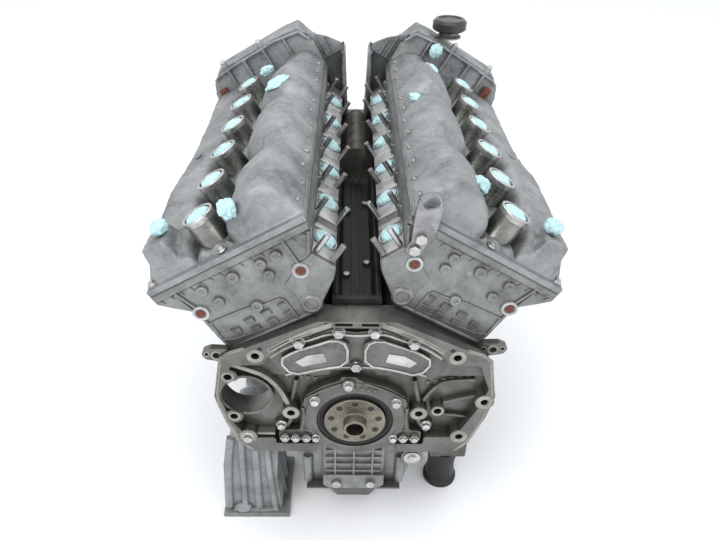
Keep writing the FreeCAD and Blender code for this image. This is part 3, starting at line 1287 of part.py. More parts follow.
VALLEY = size.deck_height - 21.7
trough_outline = [(-34, VALLEY), (-34, VALLEY + 28, 3), (-26, VALLEY + 32, 3), (-22, VALLEY + 7.7, 4),
                  (22, VALLEY + 7.7, 4),
                  (26, VALLEY + 32, 3), (34, VALLEY + 28, 3), (34, VALLEY)]
trough = prism("valley_cover_trough", trough_outline, 38.3, 392)
raised = prism("valley_cover_raised", [(-34, VALLEY), (-34, VALLEY + 22, 3), (-17, VALLEY + 58, 12),
                                       (0, VALLEY + 74, 14),
                                       (17, VALLEY + 58, 12), (34, VALLEY + 22, 3), (34, VALLEY)], 430, 190)
trough_end = box("valley_cover_end", (-33, 38.3, VALLEY), (66, 8, 30))
long_ribs = [box(f"valley_rib_{index}", (x - 1.5, 44, VALLEY + 6.7), (3, 388, 6)) for index,
             x in enumerate((-6, 6))]
VALLEY_BOLTS = [(-15, 120), (15, 150), (-15, 300), (15, 330)]
valley_holes = [cylinder(f"valley_hole_{index}", 3.2, 10, (x, y, VALLEY - 1.3)) for index,
                (x, y) in enumerate(VALLEY_BOLTS)]
node("valley_cover", cut("valley_cover", fuse("valley_cover_solid",
                                              [trough, raised, trough_end] + long_ribs), valley_holes))
node("valley_cover_bolts", group("valley_cover_bolts", [
    bolt(f"valley_bolt_{index}", (x, y, VALLEY + 7.75), FreeCAD.Rotation(), 7.5, 3, 5)
    for index, (x, y) in enumerate(VALLEY_BOLTS)]))


# Timing case


CASE_REAR = size.block_front + 0.3
lower_case = [
    (-112, size.rail_level), (-148, 40, 20), from_bank(-1, -100, size.deck_height - 1),
    from_bank(-1, 90, size.deck_height - 1), from_bank(1, 90, size.deck_height - 1),
    from_bank(1, -100, size.deck_height - 1), (148, 40, 20), (112, size.rail_level)]
lower_space = [
    (-104, size.rail_level + 7), (-138, 40, 16), from_bank(-1, -93, size.deck_height + 1),
    from_bank(-1, 84, size.deck_height + 1), from_bank(-1, 84, size.deck_height - 9),
    (0, size.deck_height + 6),
    from_bank(1, 84, size.deck_height - 9), from_bank(1, 84, size.deck_height + 1),
    from_bank(1, -93, size.deck_height + 1), (138, 40, 16), (104, size.rail_level + 7)]
case_solid = prism("timing_case_solid", lower_case, CASE_REAR, size.case_front - CASE_REAR)
case_space = prism("timing_case_space", lower_space, CASE_REAR - 1, size.case_front - CASE_REAR - 7)
nose_hole = cylinder("timing_case_hole", 26.1, 30, (0, "case_front - 20", 0), ALONG_Y)
nose_boss = cylinder("timing_case_boss", 34, 12, (0, "case_front - 12", 0), ALONG_Y)
node("timing_case_lower", cut("timing_case_lower", fuse("timing_case_bossed",
                                                        [cut("timing_case_open", case_solid, [case_space]),
                                                                                nose_boss]), [nose_hole]))
node("front_crank_seal", turned("front_crank_seal", [
    (size.nose_radius + size.running_gap, size.case_front - 7), (18, size.case_front - 10),
    (26, size.case_front - 10),
    (26, size.case_front - 1), (18, size.case_front - 1), (size.nose_radius + size.running_gap,
                                                           size.case_front - 4)]))
for word, side in SIDES:
    forward = size.bank_offset if side > 0 else 0
    solid = prism(f"timing_case_solid_{word}", across(side, [
        (-104, size.deck_height - 0.7), (-119, HEAD_TOP - 55, 8), (-124, HEAD_TOP - 17, 4),
        (-124, HEAD_TOP - 0.2),
        (size.case_inner - 5, HEAD_TOP - 0.2), (size.case_inner - 6, HEAD_TOP - 9, 4),
        (138, HEAD_TOP - 35, 8),
        (90, size.deck_height - 0.7)]),
        size.head_front + 0.3 - forward, size.case_front - size.head_front - 0.3)
    space = prism(f"timing_case_space_{word}", across(side, [
        (-94, size.deck_height - 2), (-112, HEAD_TOP - 55, 6), (-117, HEAD_TOP - 13, 4),
        (-117, HEAD_TOP + 1),
        (size.case_inner - 12, HEAD_TOP + 1), (size.case_inner - 12, HEAD_TOP - 9, 4),
        (131, HEAD_TOP - 32, 8),
        (83, size.deck_height - 2)]),
        size.head_front - 1 - forward, size.case_front - size.head_front - 6)
    upper = cut(f"timing_case_{word}", solid, [space])
    node(f"timing_case_{word}", on_bank(upper, side))


# Mounts


left_bracket = [
    (-222, -262, 14), (-214, -150, 20), (-196, -84, 10), (-150, -52, 10), (-122.3, -52, 6),
    (-122.3, -110, 10),
    (-128, -190, 12), (-122, -272, 8), (-150, -280, 0), (-196, -280, 0)]
bracket_body = prism("bracket_left_body", left_bracket, 38.5, 104)
bracket_lobes = [cylinder(f"bracket_left_lobe_{index}", radius, 62, (x, y, -88))
                 for index, (x, y, radius) in enumerate([(-158, 74, 22), (-152, 112, 24)])]
bracket_hollow = prism("bracket_left_hollow", [(-206, -248, 10), (-200, -150, 14), (-186, -98, 8),
                                               (-140, -98, 8),
                                               (-144, -190, 10), (-136, -262, 6), (-160, -270, 0),
                                               (-190, -270, 0)], 44, 110)
bracket_foot = prism("bracket_left_foot", [(-224, -280), (-224, -270, 3), (-110, -270, 3), (-110, -280)],
                     28, 122)
bracket_ribs = [prism(f"bracket_left_rib_{index}", [(-212, -270), (-204, -160, 8), (-140, -90, 8),
                                                    (-126, -190, 8),
                                                    (-118, -270)], y, 8) for index,
                                                    y in enumerate((70, 104))]
foot_slots = [cylinder(f"bracket_foot_hole_{index}", 6.5, 20, (x, y, -285)) for index,
              (x, y) in enumerate([(-212, 62), (-212, 118)])]
node("mount_bracket_left", cut("mount_bracket_left", fuse("bracket_left_solid", [
    cut("bracket_left_open", bracket_body, [bracket_hollow]),
    bracket_foot] + bracket_ribs + bracket_lobes), foot_slots))
right_arm = prism("bracket_right_arm", [(122.3, -66, 4), (122.3, -20, 4), (132, -14, 6), (198, -160, 12),
                                        (198, -194, 4), (136, -194, 4),
                                        (126, -110, 10)], 92, 56)
node("mount_bracket_right", right_arm)
node("rubber_mount_right", turned("rubber_mount_right", [
    (0, 0), (30, 0), (30, 7), (26, 12), (24, 42), (26, 70), (30, 76), (30, 85.7), (0, 85.7)]))
nodes["rubber_mount_right"].Placement = FreeCAD.Placement(VECTOR(163, 120, size.floor_level),
                                                          FreeCAD.Rotation(VECTOR(1, 0, 0), 90))


# The document is built and each sub-part is tested before it is written


doc.recompute()
faults = []
for feature in doc.Objects:
    if any(state in ("Invalid", "Error") for state in feature.State):
        faults.append(f"{feature.Name}: {feature.State}")
for name, feature in nodes.items():
    if feature.Shape.isNull() or not feature.Shape.isValid():
        faults.append(f"{name}: its shape is null or not valid")
    elif not feature.Shape.Solids:
        faults.append(f"{name}: it has no solid")
if faults:
    raise RuntimeError("; ".join(faults))
for name, feature in sorted(nodes.items()):
    feature.Shape.exportStep(os.path.join("parts", name + ".step"))
    print(name, len(feature.Shape.Solids), round(feature.Shape.Volume / 1000), "cm3")
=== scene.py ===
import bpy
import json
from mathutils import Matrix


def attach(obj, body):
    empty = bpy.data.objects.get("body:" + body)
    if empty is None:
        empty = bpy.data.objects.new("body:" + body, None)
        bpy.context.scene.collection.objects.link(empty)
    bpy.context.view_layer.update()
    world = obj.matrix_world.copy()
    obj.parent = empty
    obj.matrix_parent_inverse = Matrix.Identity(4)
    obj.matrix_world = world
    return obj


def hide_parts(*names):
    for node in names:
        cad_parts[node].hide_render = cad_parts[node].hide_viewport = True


bl_info = {
    "name": "V-Twelve Long Block",
    "version": (1, 0, 0),
    "blender": (4, 5, 0),
    "location": "View3D > Sidebar > Engine",
    "description": "Dresses the packed V-twelve engine with castings, fasteners, paper plugs and finishes",
    "category": "Object",
}

import json
import math

import bmesh
import bpy
from bpy.props import FloatProperty, FloatVectorProperty, PointerProperty
from mathutils import Matrix, Vector, noise

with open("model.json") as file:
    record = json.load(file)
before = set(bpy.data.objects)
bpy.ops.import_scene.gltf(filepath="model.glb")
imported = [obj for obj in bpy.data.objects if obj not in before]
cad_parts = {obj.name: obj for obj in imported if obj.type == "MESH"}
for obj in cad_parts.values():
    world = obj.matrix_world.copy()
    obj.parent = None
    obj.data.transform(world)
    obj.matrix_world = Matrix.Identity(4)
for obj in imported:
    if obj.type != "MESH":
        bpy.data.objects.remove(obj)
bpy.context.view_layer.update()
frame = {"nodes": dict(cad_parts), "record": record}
CYLINDERS = range(6)
LEFT, RIGHT = -1, 1
WORD = {LEFT: "left", RIGHT: "right"}
REARWARDS = Matrix.Rotation(math.pi / 2, 4, "X")

# The intake flange in its bank: across, up the bores, and its lean towards the valley
FLANGE_W, FLANGE_U, PORT_LEAN = 99.5, 259.5, math.radians(62.7)
# The head covers in their bank: foot, edges across and along, start of the timing end
FOOT = 318.4
COVER_W = (-126, 111)
COVER_Y = (18.0, 692.0)
CASE_START = 628
COVER_LUMP = 372.5
TUBE_FOOT = 318.8

# The photograph's camera, in degrees and millimetres
CAMERA_DOWN, CAMERA_YAW, CAMERA_ROLL = 35.354, 1.408, 1.515
CAMERA_PLACE = (-14.0, -639.7, 727.2)
CAMERA_LENS = 32.04


# Places on the engine, in millimetres


def settings():
    return bpy.context.scene.engine_dress


def cylinder_y(index):
    return settings().first_bore + index * settings().bore_pitch


def lead(side):
    """How far the bank's bores sit ahead of the left bank's."""
    return settings().bank_step if side == RIGHT else 0.0


def bank_point(side, w, y, u):
    """A point of a bank: w runs towards the valley, y along the crankshaft, u up the bores."""
    x = side * (0.5 * u - math.cos(math.pi / 6) * w)
    z = math.cos(math.pi / 6) * u + 0.5 * w
    return Vector((x, y + lead(side), z)) / 1000


def bank_matrix(side, w, y, u, lean=0.0):
    """A frame that stands on a point of a bank, its z up the bores or leaned towards the valley."""
    tilt = side * (math.pi / 6 - lean)
    return Matrix.Translation(bank_point(side, w, y, u)) @ Matrix.Rotation(tilt, 4, "Y")


def rear_matrix(x, y, z):
    """A frame whose z points rearwards, out of the flywheel end."""
    return Matrix.Translation(Vector((x, y, z)) / 1000) @ REARWARDS


def bank_rear_matrix(side, w, y, u):
    """A frame on a point of a bank: x across it (-side * w), y up the bores, z rearwards."""
    return bank_matrix(side, w, y, u) @ REARWARDS


def at(matrix, x, y, z=0.0):
    """The matrix moved by its own millimetres."""
    return matrix @ Matrix.Translation(Vector((x, y, z)) / 1000)


def across(side, points):
    """Points (w, u) of a bank on the plane of bank_rear_matrix."""
    return [(-side * w, u) for w, u in points]


# Finishes


class Nodes:
    """A small hand for wiring a material's nodes."""

    def __init__(self, name):
        self.material = bpy.data.materials.new(name)
        self.material.use_nodes = True
        self.tree = self.material.node_tree
        self.shader = self.tree.nodes["Principled BSDF"]
        self.place = self.tree.nodes.new("ShaderNodeTexCoord").outputs["Object"]

    def feed(self, socket, value):
        if isinstance(value, bpy.types.NodeSocket):
            self.tree.links.new(value, socket)
        else:
            socket.default_value = value

    def add(self, kind, inputs=(), **facts):
        node = self.tree.nodes.new(kind)
        for name, value in facts.items():
            setattr(node, name, value)
        for socket, value in dict(inputs).items():
            self.feed(node.inputs[socket], value)
        return node

    def noise(self, scale, detail=4.0, roughness=0.55, distortion=0.0):
        inputs = {"Vector": self.place, "Scale": scale, "Detail": detail, "Roughness": roughness,
                  "Distortion": distortion}
        return self.add("ShaderNodeTexNoise", inputs).outputs["Fac"]

    def band(self, value, low, high, start=0.0, finish=1.0):
        inputs = {"Value": value, "From Min": low, "From Max": high, "To Min": start, "To Max": finish}
        return self.add("ShaderNodeMapRange", inputs).outputs["Result"]

    def blend(self, amount, first, second, mode="MIX"):
        node = self.add("ShaderNodeMix", data_type="RGBA", blend_type=mode)
        for socket, value in ((0, amount), (6, first), (7, second)):
            self.feed(node.inputs[socket], value)
        return node.outputs[2]

    def multiply(self, first, second):
        return self.add("ShaderNodeMath", {0: first, 1: second}, operation="MULTIPLY").outputs[0]

    def corners(self, distance, samples):
        inputs = {"Distance": distance}
        return self.add("ShaderNodeAmbientOcclusion", inputs, samples=samples).outputs["AO"]

    def bevel(self, radius):
        return self.add("ShaderNodeBevel", {"Radius": radius}, samples=4).outputs["Normal"]

    def bump(self, height, strength, distance, normal=None):
        inputs = {"Height": height, "Strength": strength, "Distance": distance}
        if normal is not None:
            inputs["Normal"] = normal
        return self.add("ShaderNodeBump", inputs).outputs["Normal"]

    def wire(self, socket, value):
        self.feed(self.shader.inputs[socket], value)


def rgba(colour, factor=1.0):
    return (colour[0] * factor, colour[1] * factor, colour[2] * factor, 1.0)


def cast_metal(name, colour, stain_and_shade_colour, metallic=0.75, rough=(0.38, 0.62), grain=0.35, grain_scale=900, mottle=22,
               stain_and_shade=0.55, wear_and_highlight=0.5, lumps=0.0):
    """Cast or machined metal with mottling and stains, painted shade in its corners and bright edges that are part
    wear, part painted highlight.
    """
    n = Nodes(name)
    large = n.noise(mottle, 6.0, 0.6, 0.4)
    small = n.noise(mottle * 7, 5.0, 0.65)
    tone = n.blend(n.band(large, 0.34, 0.66), rgba(colour, 0.58), rgba(colour, 1.24))
    tone = n.blend(n.band(small, 0.42, 0.7, 0.0, 0.55), tone, rgba(colour, 1.3))
    spots = n.noise(mottle * 2.3, 8.0, 0.7, 1.2)
    tone = n.blend(n.band(spots, 0.56, 0.74, 0.0, stain_and_shade * 0.8), tone, rgba(stain_and_shade_colour, 1.4))
    # painted shade: corners and recesses darkened towards the stain colour by ambient occlusion
    corner = n.corners(0.022, 6)
    tone = n.blend(n.band(corner, 0.92, 0.35, 0.0, stain_and_shade), tone, rgba(stain_and_shade_colour))
    soft = n.bevel(0.0012)
    geometry = n.add("ShaderNodeNewGeometry")
    along = n.add("ShaderNodeVectorMath", {0: soft, 1: geometry.outputs["Normal"]}, operation="DOT_PRODUCT")
    # bright edges, kept off the shaded corners: part wear, part painted highlight
    edge = n.band(along.outputs["Value"], 0.995, 0.9, 0.0, wear_and_highlight)
    edge = n.multiply(edge, n.band(corner, 0.55, 0.9))
    tone = n.blend(edge, tone, rgba(colour, 1.7))
    n.wire("Base Color", tone)
    n.wire("Metallic", metallic)
    n.wire("Roughness", n.band(small, 0.3, 0.7, rough[0], rough[1]))
    bump = n.bump(n.noise(grain_scale, 3.0, 0.6), grain, 0.0006, soft)
    if lumps:
        bump = n.bump(small, lumps, 0.003, bump)
    n.wire("Normal", bump)
    return n.material


def soft_black(name, colour, rough=0.5, grain=0.2, dust=0.25, specular=0.4):
    """Rubber, plastic or oily black sheet with a little dust and painted shade in its corners."""
    n = Nodes(name)
    large = n.noise(30, 6.0, 0.6)
    tone = n.blend(n.band(large, 0.35, 0.75, 0.0, dust), rgba(colour), (0.16, 0.15, 0.135, 1.0))
    # painted shade: darker in corners and recesses, by ambient occlusion
    corner = n.corners(0.015, 4)
    tone = n.blend(n.band(corner, 0.9, 0.3, 0.0, 0.7), tone, rgba(colour, 0.4))
    n.wire("Base Color", tone)
    n.wire("Roughness", n.band(large, 0.3, 0.7, rough - 0.12, rough + 0.15))
    n.wire("Specular IOR Level", specular)
    n.wire("Normal", n.bump(n.noise(700, 3.0), grain, 0.0005, n.bevel(0.0008)))
    return n.material


def crumpled_paper(name, colour):
    """Blue paper wipe: thin, creased, with painted highlight on its ridges and painted shade in its creases."""
    n = Nodes(name)
    corner = n.corners(0.008, 6)
    cells = n.add("ShaderNodeTexVoronoi", {"Vector": n.place, "Scale": 170.0},
                  feature="DISTANCE_TO_EDGE").outputs["Distance"]
    cloud = n.noise(60, 5.0)
    tone = n.blend(n.band(cloud, 0.35, 0.65), rgba(colour, 0.86), rgba(colour, 1.12))
    # painted highlight: near-white along the crease cells
    tone = n.blend(n.band(cells, 0.0, 0.12, 0.45, 0.0), tone, rgba((0.72, 0.92, 0.90)))
    # painted shade: dark teal deep in the creases, by ambient occlusion
    tone = n.blend(n.band(corner, 0.8, 0.25, 0.0, 0.85), tone, rgba((0.05, 0.16, 0.17)))
    n.wire("Base Color", tone)
    n.wire("Roughness", 0.85)
    n.wire("Specular IOR Level", 0.2)
    n.wire("Subsurface Weight", 0.1)
    n.wire("Subsurface Scale", 0.002)
    n.wire("Subsurface Radius", (0.3, 0.8, 0.8))
    n.wire("Normal", n.bump(n.noise(900, 2.0), 0.2, 0.0003, n.bump(cells, 0.6, 0.0015)))
    return n.material


def valley_cast(name, dark, pale):
    """Oily black trough that turns into a mottled brown-grey dome at its far end."""
    n = Nodes(name)
    cloud = n.noise(34, 6.0, 0.65)
    along = n.add("ShaderNodeSeparateXYZ", {"Vector": n.place}).outputs["Y"]
    far = n.band(along, 0.405, 0.432)
    dome = n.blend(n.band(cloud, 0.38, 0.62), rgba(pale, 0.55), rgba(pale, 1.5))
    trough = n.blend(n.band(cloud, 0.45, 0.75), rgba(dark), rgba(dark, 3.2))
    n.wire("Base Color", n.blend(far, trough, dome))
    n.wire("Roughness", n.band(cloud, 0.3, 0.7, 0.36, 0.62))
    n.wire("Specular IOR Level", 0.35)
    n.wire("Normal", n.bump(n.noise(420, 4.0), 0.5, 0.0008))
    return n.material


def rusty_plug(name, colour):
    """Pressed steel core plug, rusted unevenly."""
    n = Nodes(name)
    cloud = n.noise(260, 5.0)
    n.wire("Base Color", n.blend(n.band(cloud, 0.35, 0.7), rgba(colour, 0.6), rgba(colour, 1.5)))
    n.wire("Roughness", 0.75)
    n.wire("Normal", n.bump(cloud, 0.4, 0.0006))
    return n.material


# Colour or its setting, colour of stains and painted corner shade, metal, roughness, grain and its scale, mottle,
# strength of stains and painted corner shade, strength of worn edges and painted highlight, lumps
METALS = {
    "rough_cast": ("cover_colour", (0.085, 0.08, 0.07), 0.6, (0.34, 0.62), 0.85, 620, 20, 0.7, 0.7, 0.5),
    "head_cast": ("head_colour", (0.085, 0.085, 0.075), 0.7, (0.34, 0.55), 0.3, 1100, 26, 0.65, 0.7, 0.06),
    "block_cast": ("block_colour", (0.055, 0.05, 0.038), 0.75, (0.28, 0.5), 0.22, 1000, 18, 0.8, 0.85, 0.05),
    "machined_pale": ((0.5, 0.51, 0.5), (0.16, 0.14, 0.11), 0.6, (0.3, 0.5), 0.15, 900, 30, 0.35, 0.6),
    "bright_steel": ((0.5, 0.5, 0.49), (0.1, 0.09, 0.08), 0.95, (0.25, 0.42), 0.1, 1200, 60, 0.5, 0.6),
    "eye_steel": ((0.3, 0.3, 0.31), (0.08, 0.08, 0.08), 0.8, (0.36, 0.5), 0.15, 1200, 40, 0.3, 0.5),
    "brown_steel": ("crank_colour", (0.05, 0.035, 0.02), 0.9, (0.25, 0.45), 0.15, 1000, 40, 0.7, 0.8),
    "tube_steel": ((0.24, 0.245, 0.225), (0.05, 0.047, 0.04), 0.95, (0.2, 0.34), 0.12, 900, 40, 0.5, 0.5),
    "dark_steel": ((0.14, 0.13, 0.12), (0.03, 0.025, 0.02), 0.8, (0.35, 0.55), 0.3, 800, 30, 0.7, 0.6),
    "bracket_cast": ((0.27, 0.285, 0.29), (0.14, 0.13, 0.1), 0.35, (0.5, 0.75), 0.7, 600, 24, 0.55, 0.5, 0.5),
    "machined_block": ((0.3, 0.29, 0.265), (0.1, 0.085, 0.06), 0.8, (0.3, 0.46), 0.12, 900, 26, 0.5, 0.5),
    "plate_cast": ((0.46, 0.46, 0.44), (0.06, 0.055, 0.045), 0.75, (0.3, 0.48), 0.16, 1000, 22, 0.6, 0.8),
    "stud_steel": ((0.34, 0.34, 0.33), (0.1, 0.1, 0.1), 0.85, (0.35, 0.5), 0.2, 1200, 60, 0.5, 0.5),
}
# Colour, roughness, grain, dust, sheen of the surface
BLACKS = {
    "dark_sheet": ((0.045, 0.045, 0.05), 0.42, 0.25, 0.3, 0.5),
    "gasket_sheet": ((0.03, 0.03, 0.03), 0.7, 0.3, 0.1),
    "black_rubber": ((0.014, 0.014, 0.015), 0.5, 0.2, 0.06),
    "black_plastic": ((0.016, 0.017, 0.019), 0.28, 0.08, 0.08, 0.6),
    "dark_plastic": ((0.028, 0.026, 0.022), 0.36, 0.35, 0.5, 0.6),
}
FINISHES = {}


def finish(name):
    """The material of a finish, made the first time it is asked for."""
    if name in FINISHES:
        return FINISHES[name]
    if name in METALS:
        colour, stain_and_shade_colour, *rest = METALS[name]
        colour = getattr(settings(), colour) if isinstance(colour, str) else colour
        FINISHES[name] = cast_metal(name, colour, stain_and_shade_colour, *rest)
    elif name in BLACKS:
        FINISHES[name] = soft_black(name, *BLACKS[name])
    elif name == "valley_dark":
        FINISHES[name] = valley_cast(name, (0.012, 0.013, 0.012), (0.085, 0.078, 0.068))
    elif name == "cyan_paper":
        FINISHES[name] = crumpled_paper(name, settings().paper_colour)
    elif name == "rusty_steel":
        FINISHES[name] = rusty_plug(name, (0.13, 0.035, 0.02))
    return FINISHES[name]


# Mesh helpers


def settle(name, bm, look, body="engine", sharp=38.0):
    """Turns a finished bmesh into a piece that rides on a body."""
    bmesh.ops.remove_doubles(bm, verts=bm.verts, dist=1e-6)
    bmesh.ops.recalc_face_normals(bm, faces=bm.faces)
    for face in bm.faces:
        face.smooth = True
    for edge in bm.edges:
        if len(edge.link_faces) == 2 and edge.calc_face_angle(0.0) > math.radians(sharp):
            edge.smooth = False
    mesh = bpy.data.meshes.new(name)
    bm.to_mesh(mesh)
    bm.free()
    piece = bpy.data.objects.new(name, mesh)
    bpy.context.scene.collection.objects.link(piece)
    mesh.materials.append(finish(look))
    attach(piece, body)
    return piece


def bevel_edges(bm, edges, size):
    bmesh.ops.bevel(bm, geom=edges, offset=size / 1000, segments=2, profile=0.5, affect="EDGES", material=-1)


def disc(bm, matrix, radius, low, high, segments=24, top=None, bevel=0.0):
    """A round boss from low to high along the matrix's z, in millimetres."""
    depth = (high - low) / 1000
    shift = matrix @ Matrix.Translation((0, 0, (low + high) / 2000))
    made = bmesh.ops.create_cone(bm, cap_ends=True, segments=segments, radius1=radius / 1000,
                                 radius2=(radius if top is None else top) / 1000, depth=depth, matrix=shift)
    if bevel:
        rim = [e for e in {e for v in made["verts"] for e in v.link_edges}
               if all(((matrix.inverted() @ v.co).z > high / 1000 - 1e-6) for v in e.verts)]
        bevel_edges(bm, rim, bevel)
    return made["verts"]


def block(bm, matrix, low, high, bevel=0.0, taper=0.0):
    """A block between two corners in the matrix's own millimetres."""
    low, high = Vector(low) / 1000, Vector(high) / 1000
    middle, reach = (low + high) / 2, high - low
    made = bmesh.ops.create_cube(bm, size=1.0)
    for vertex in made["verts"]:
        x, y, z = vertex.co
        inset = 1 - taper if z > 0 else 1
        vertex.co = matrix @ Vector((middle.x + x * reach.x * inset, middle.y + y * reach.y * inset,
                                     middle.z + z * reach.z))
    if bevel:
        bevel_edges(bm, list({e for v in made["verts"] for e in v.link_edges}), bevel)
    return made["verts"]


def hex_bolt(bm, matrix, radius=6.5, height=6.0, washer=9.0):
    """A flanged hexagon head with a dished top."""
    disc(bm, matrix, washer, 0, 1.6, 20, washer * 0.86)
    disc(bm, matrix, radius, 1.2, height, 6, radius * 0.97)
    disc(bm, matrix, radius * 0.62, height, height + 0.5, 12, radius * 0.5)


def socket_bolt(bm, matrix, radius=6.0, height=6.0):
    """A round head with a socket sunk in its top."""
    made = bmesh.ops.create_cone(bm, cap_ends=True, segments=16, radius1=radius / 1000, radius2=radius / 1000,
                                 depth=height / 1000, matrix=matrix @ Matrix.Translation((0, 0, height / 2000)))
    inverse = matrix.inverted()
    top = [f for f in {f for v in made["verts"] for f in v.link_faces}
           if all((inverse @ v.co).z > height / 1000 - 1e-6 for v in f.verts)]
    bmesh.ops.inset_region(bm, faces=top, thickness=radius * 0.45 / 1000)
    for vertex in {v for f in top for v in f.verts}:
        vertex.co = matrix @ (inverse @ vertex.co - Vector((0, 0, height * 0.5 / 1000)))


def lathe(bm, outline, matrix, segments=40):
    """Spins an outline of (radius, height) millimetres about the matrix's z."""
    ring = [bm.verts.new((r / 1000, 0, h / 1000)) for r, h in outline]
    edges = [bm.edges.new(pair) for pair in zip(ring, ring[1:])]
    made = bmesh.ops.spin(bm, geom=ring + edges, cent=(0, 0, 0), axis=(0, 0, 1), angle=math.tau, steps=segments,
                          use_merge=True, use_duplicate=False)
    verts = set(ring) | {g for g in made["geom_last"] if isinstance(g, bmesh.types.BMVert)}
    done = set()
    stack = list(verts)
    while stack:
        vertex = stack.pop()
        if vertex in done:
            continue
        done.add(vertex)
        stack.extend(e.other_vert(vertex) for e in vertex.link_edges)
    for vertex in done:
        vertex.co = matrix @ vertex.co


def step(low, high, value):
    """A smooth rise from 0 at low to 1 at high; low may be the greater."""
    t = min(1.0, max(0.0, (value - low) / (high - low)))
    return t * t * (3 - 2 * t)


def curve(points, x):
    """A smooth line through points with rising first numbers."""
    if x <= points[0][0]:
        return points[0][1]
    for i in range(len(points) - 1):
        (x0, y0), (x1, y1) = points[i], points[i + 1]
        if x > x1:
            continue
        before = points[i - 1] if i else points[i]
        after = points[i + 2] if i + 2 < len(points) else points[i + 1]
        m0 = (y1 - before[1]) / max(1e-6, x1 - before[0]) * (x1 - x0)
        m1 = (after[1] - y0) / max(1e-6, after[0] - x0) * (x1 - x0)
        t = (x - x0) / (x1 - x0)
        return ((2 * t ** 3 - 3 * t ** 2 + 1) * y0 + (t ** 3 - 2 * t ** 2 + t) * m0
                + (3 * t ** 2 - 2 * t ** 3) * y1 + (t ** 3 - t ** 2) * m1)
    return points[-1][1]


def rounded(points, times=2, closed=False):
    """Cuts the corners of a run of points."""
    for _ in range(times):
        pairs = list(zip(points, points[1:] + points[:1] if closed else points[1:]))
        cutting = [] if closed else [points[0]]
        for (x0, y0), (x1, y1) in pairs:
            cutting += [(x0 * 0.75 + x1 * 0.25, y0 * 0.75 + y1 * 0.25),
                        (x0 * 0.25 + x1 * 0.75, y0 * 0.25 + y1 * 0.75)]
        points = cutting if closed else cutting + [points[-1]]
    return points


def ridge(bm, matrix, points, width, low, high, soften=0.35, times=0, closed=False):
    """A rib that follows a run of points on the matrix's plane, from low to high along its z."""
    if times:
        points = rounded(points, times, closed)
    count = len(points)
    lifts = ((0.5, low), (0.5, high - soften * width * 0.6), (0.5 - soften, high), (soften - 0.5, high),
             (-0.5, high - soften * width * 0.6), (-0.5, low))
    first = bmesh.ops.create_circle(bm, segments=6, radius=1.0)["verts"]
    rings = [first]
    edges = list({e for v in first for e in v.link_edges})
    for _ in range(count - 1):
        made = bmesh.ops.extrude_edge_only(bm, edges=edges)
        edges = [g for g in made["geom"] if isinstance(g, bmesh.types.BMEdge)]
        fresh = [g for g in made["geom"] if isinstance(g, bmesh.types.BMVert)]
        rings.append([next(v for v in fresh if any(e.other_vert(v) is vertex for e in v.link_edges))
                      for vertex in rings[-1]])
    for index, ring in enumerate(rings):
        here = Vector(points[index])
        before = Vector(points[index - 1]) if index or closed else here
        after = Vector(points[(index + 1) % count]) if index + 1 < count or closed else here
        ahead = (after - before).normalized()
        side = Vector((-ahead.y, ahead.x))
        bend = 1.0
        if before != here and after != here:
            bend = 1 / max(0.6, abs(side.dot(Vector((-(here - before).y, (here - before).x)).normalized())))
        for vertex, (across, lift) in zip(ring, lifts):
            spot = here + side * across * width * bend
            vertex.co = matrix @ (Vector((spot.x, spot.y, lift)) / 1000)
    ends = [e for ring in (rings[0], rings[-1]) for v in ring for e in v.link_edges if e.is_boundary]
    if closed:
        bmesh.ops.bridge_loops(bm, edges=list(set(ends)))
    else:
        bmesh.ops.holes_fill(bm, edges=list(set(ends)), sides=6)


def slab(bm, matrix, points, low, high, bevel=0.6, times=0):
    """A plate with the given outline, from low to high along the matrix's z."""
    if times:
        points = rounded(points, times, True)
    ring = [bm.verts.new(matrix @ (Vector((x, y, low)) / 1000)) for x, y in points]
    face = bm.faces.new(ring)
    made = bmesh.ops.extrude_face_region(bm, geom=[face])
    top = [g for g in made["geom"] if isinstance(g, bmesh.types.BMVert)]
    lift = (matrix.to_3x3() @ Vector((0, 0, 1))) * (high - low) / 1000
    bmesh.ops.translate(bm, verts=top, vec=lift)
    if bevel:
        rim = [e for e in {e for v in top for e in v.link_edges} if all(v in top for v in e.verts)]
        bevel_edges(bm, rim, bevel)


# The stage


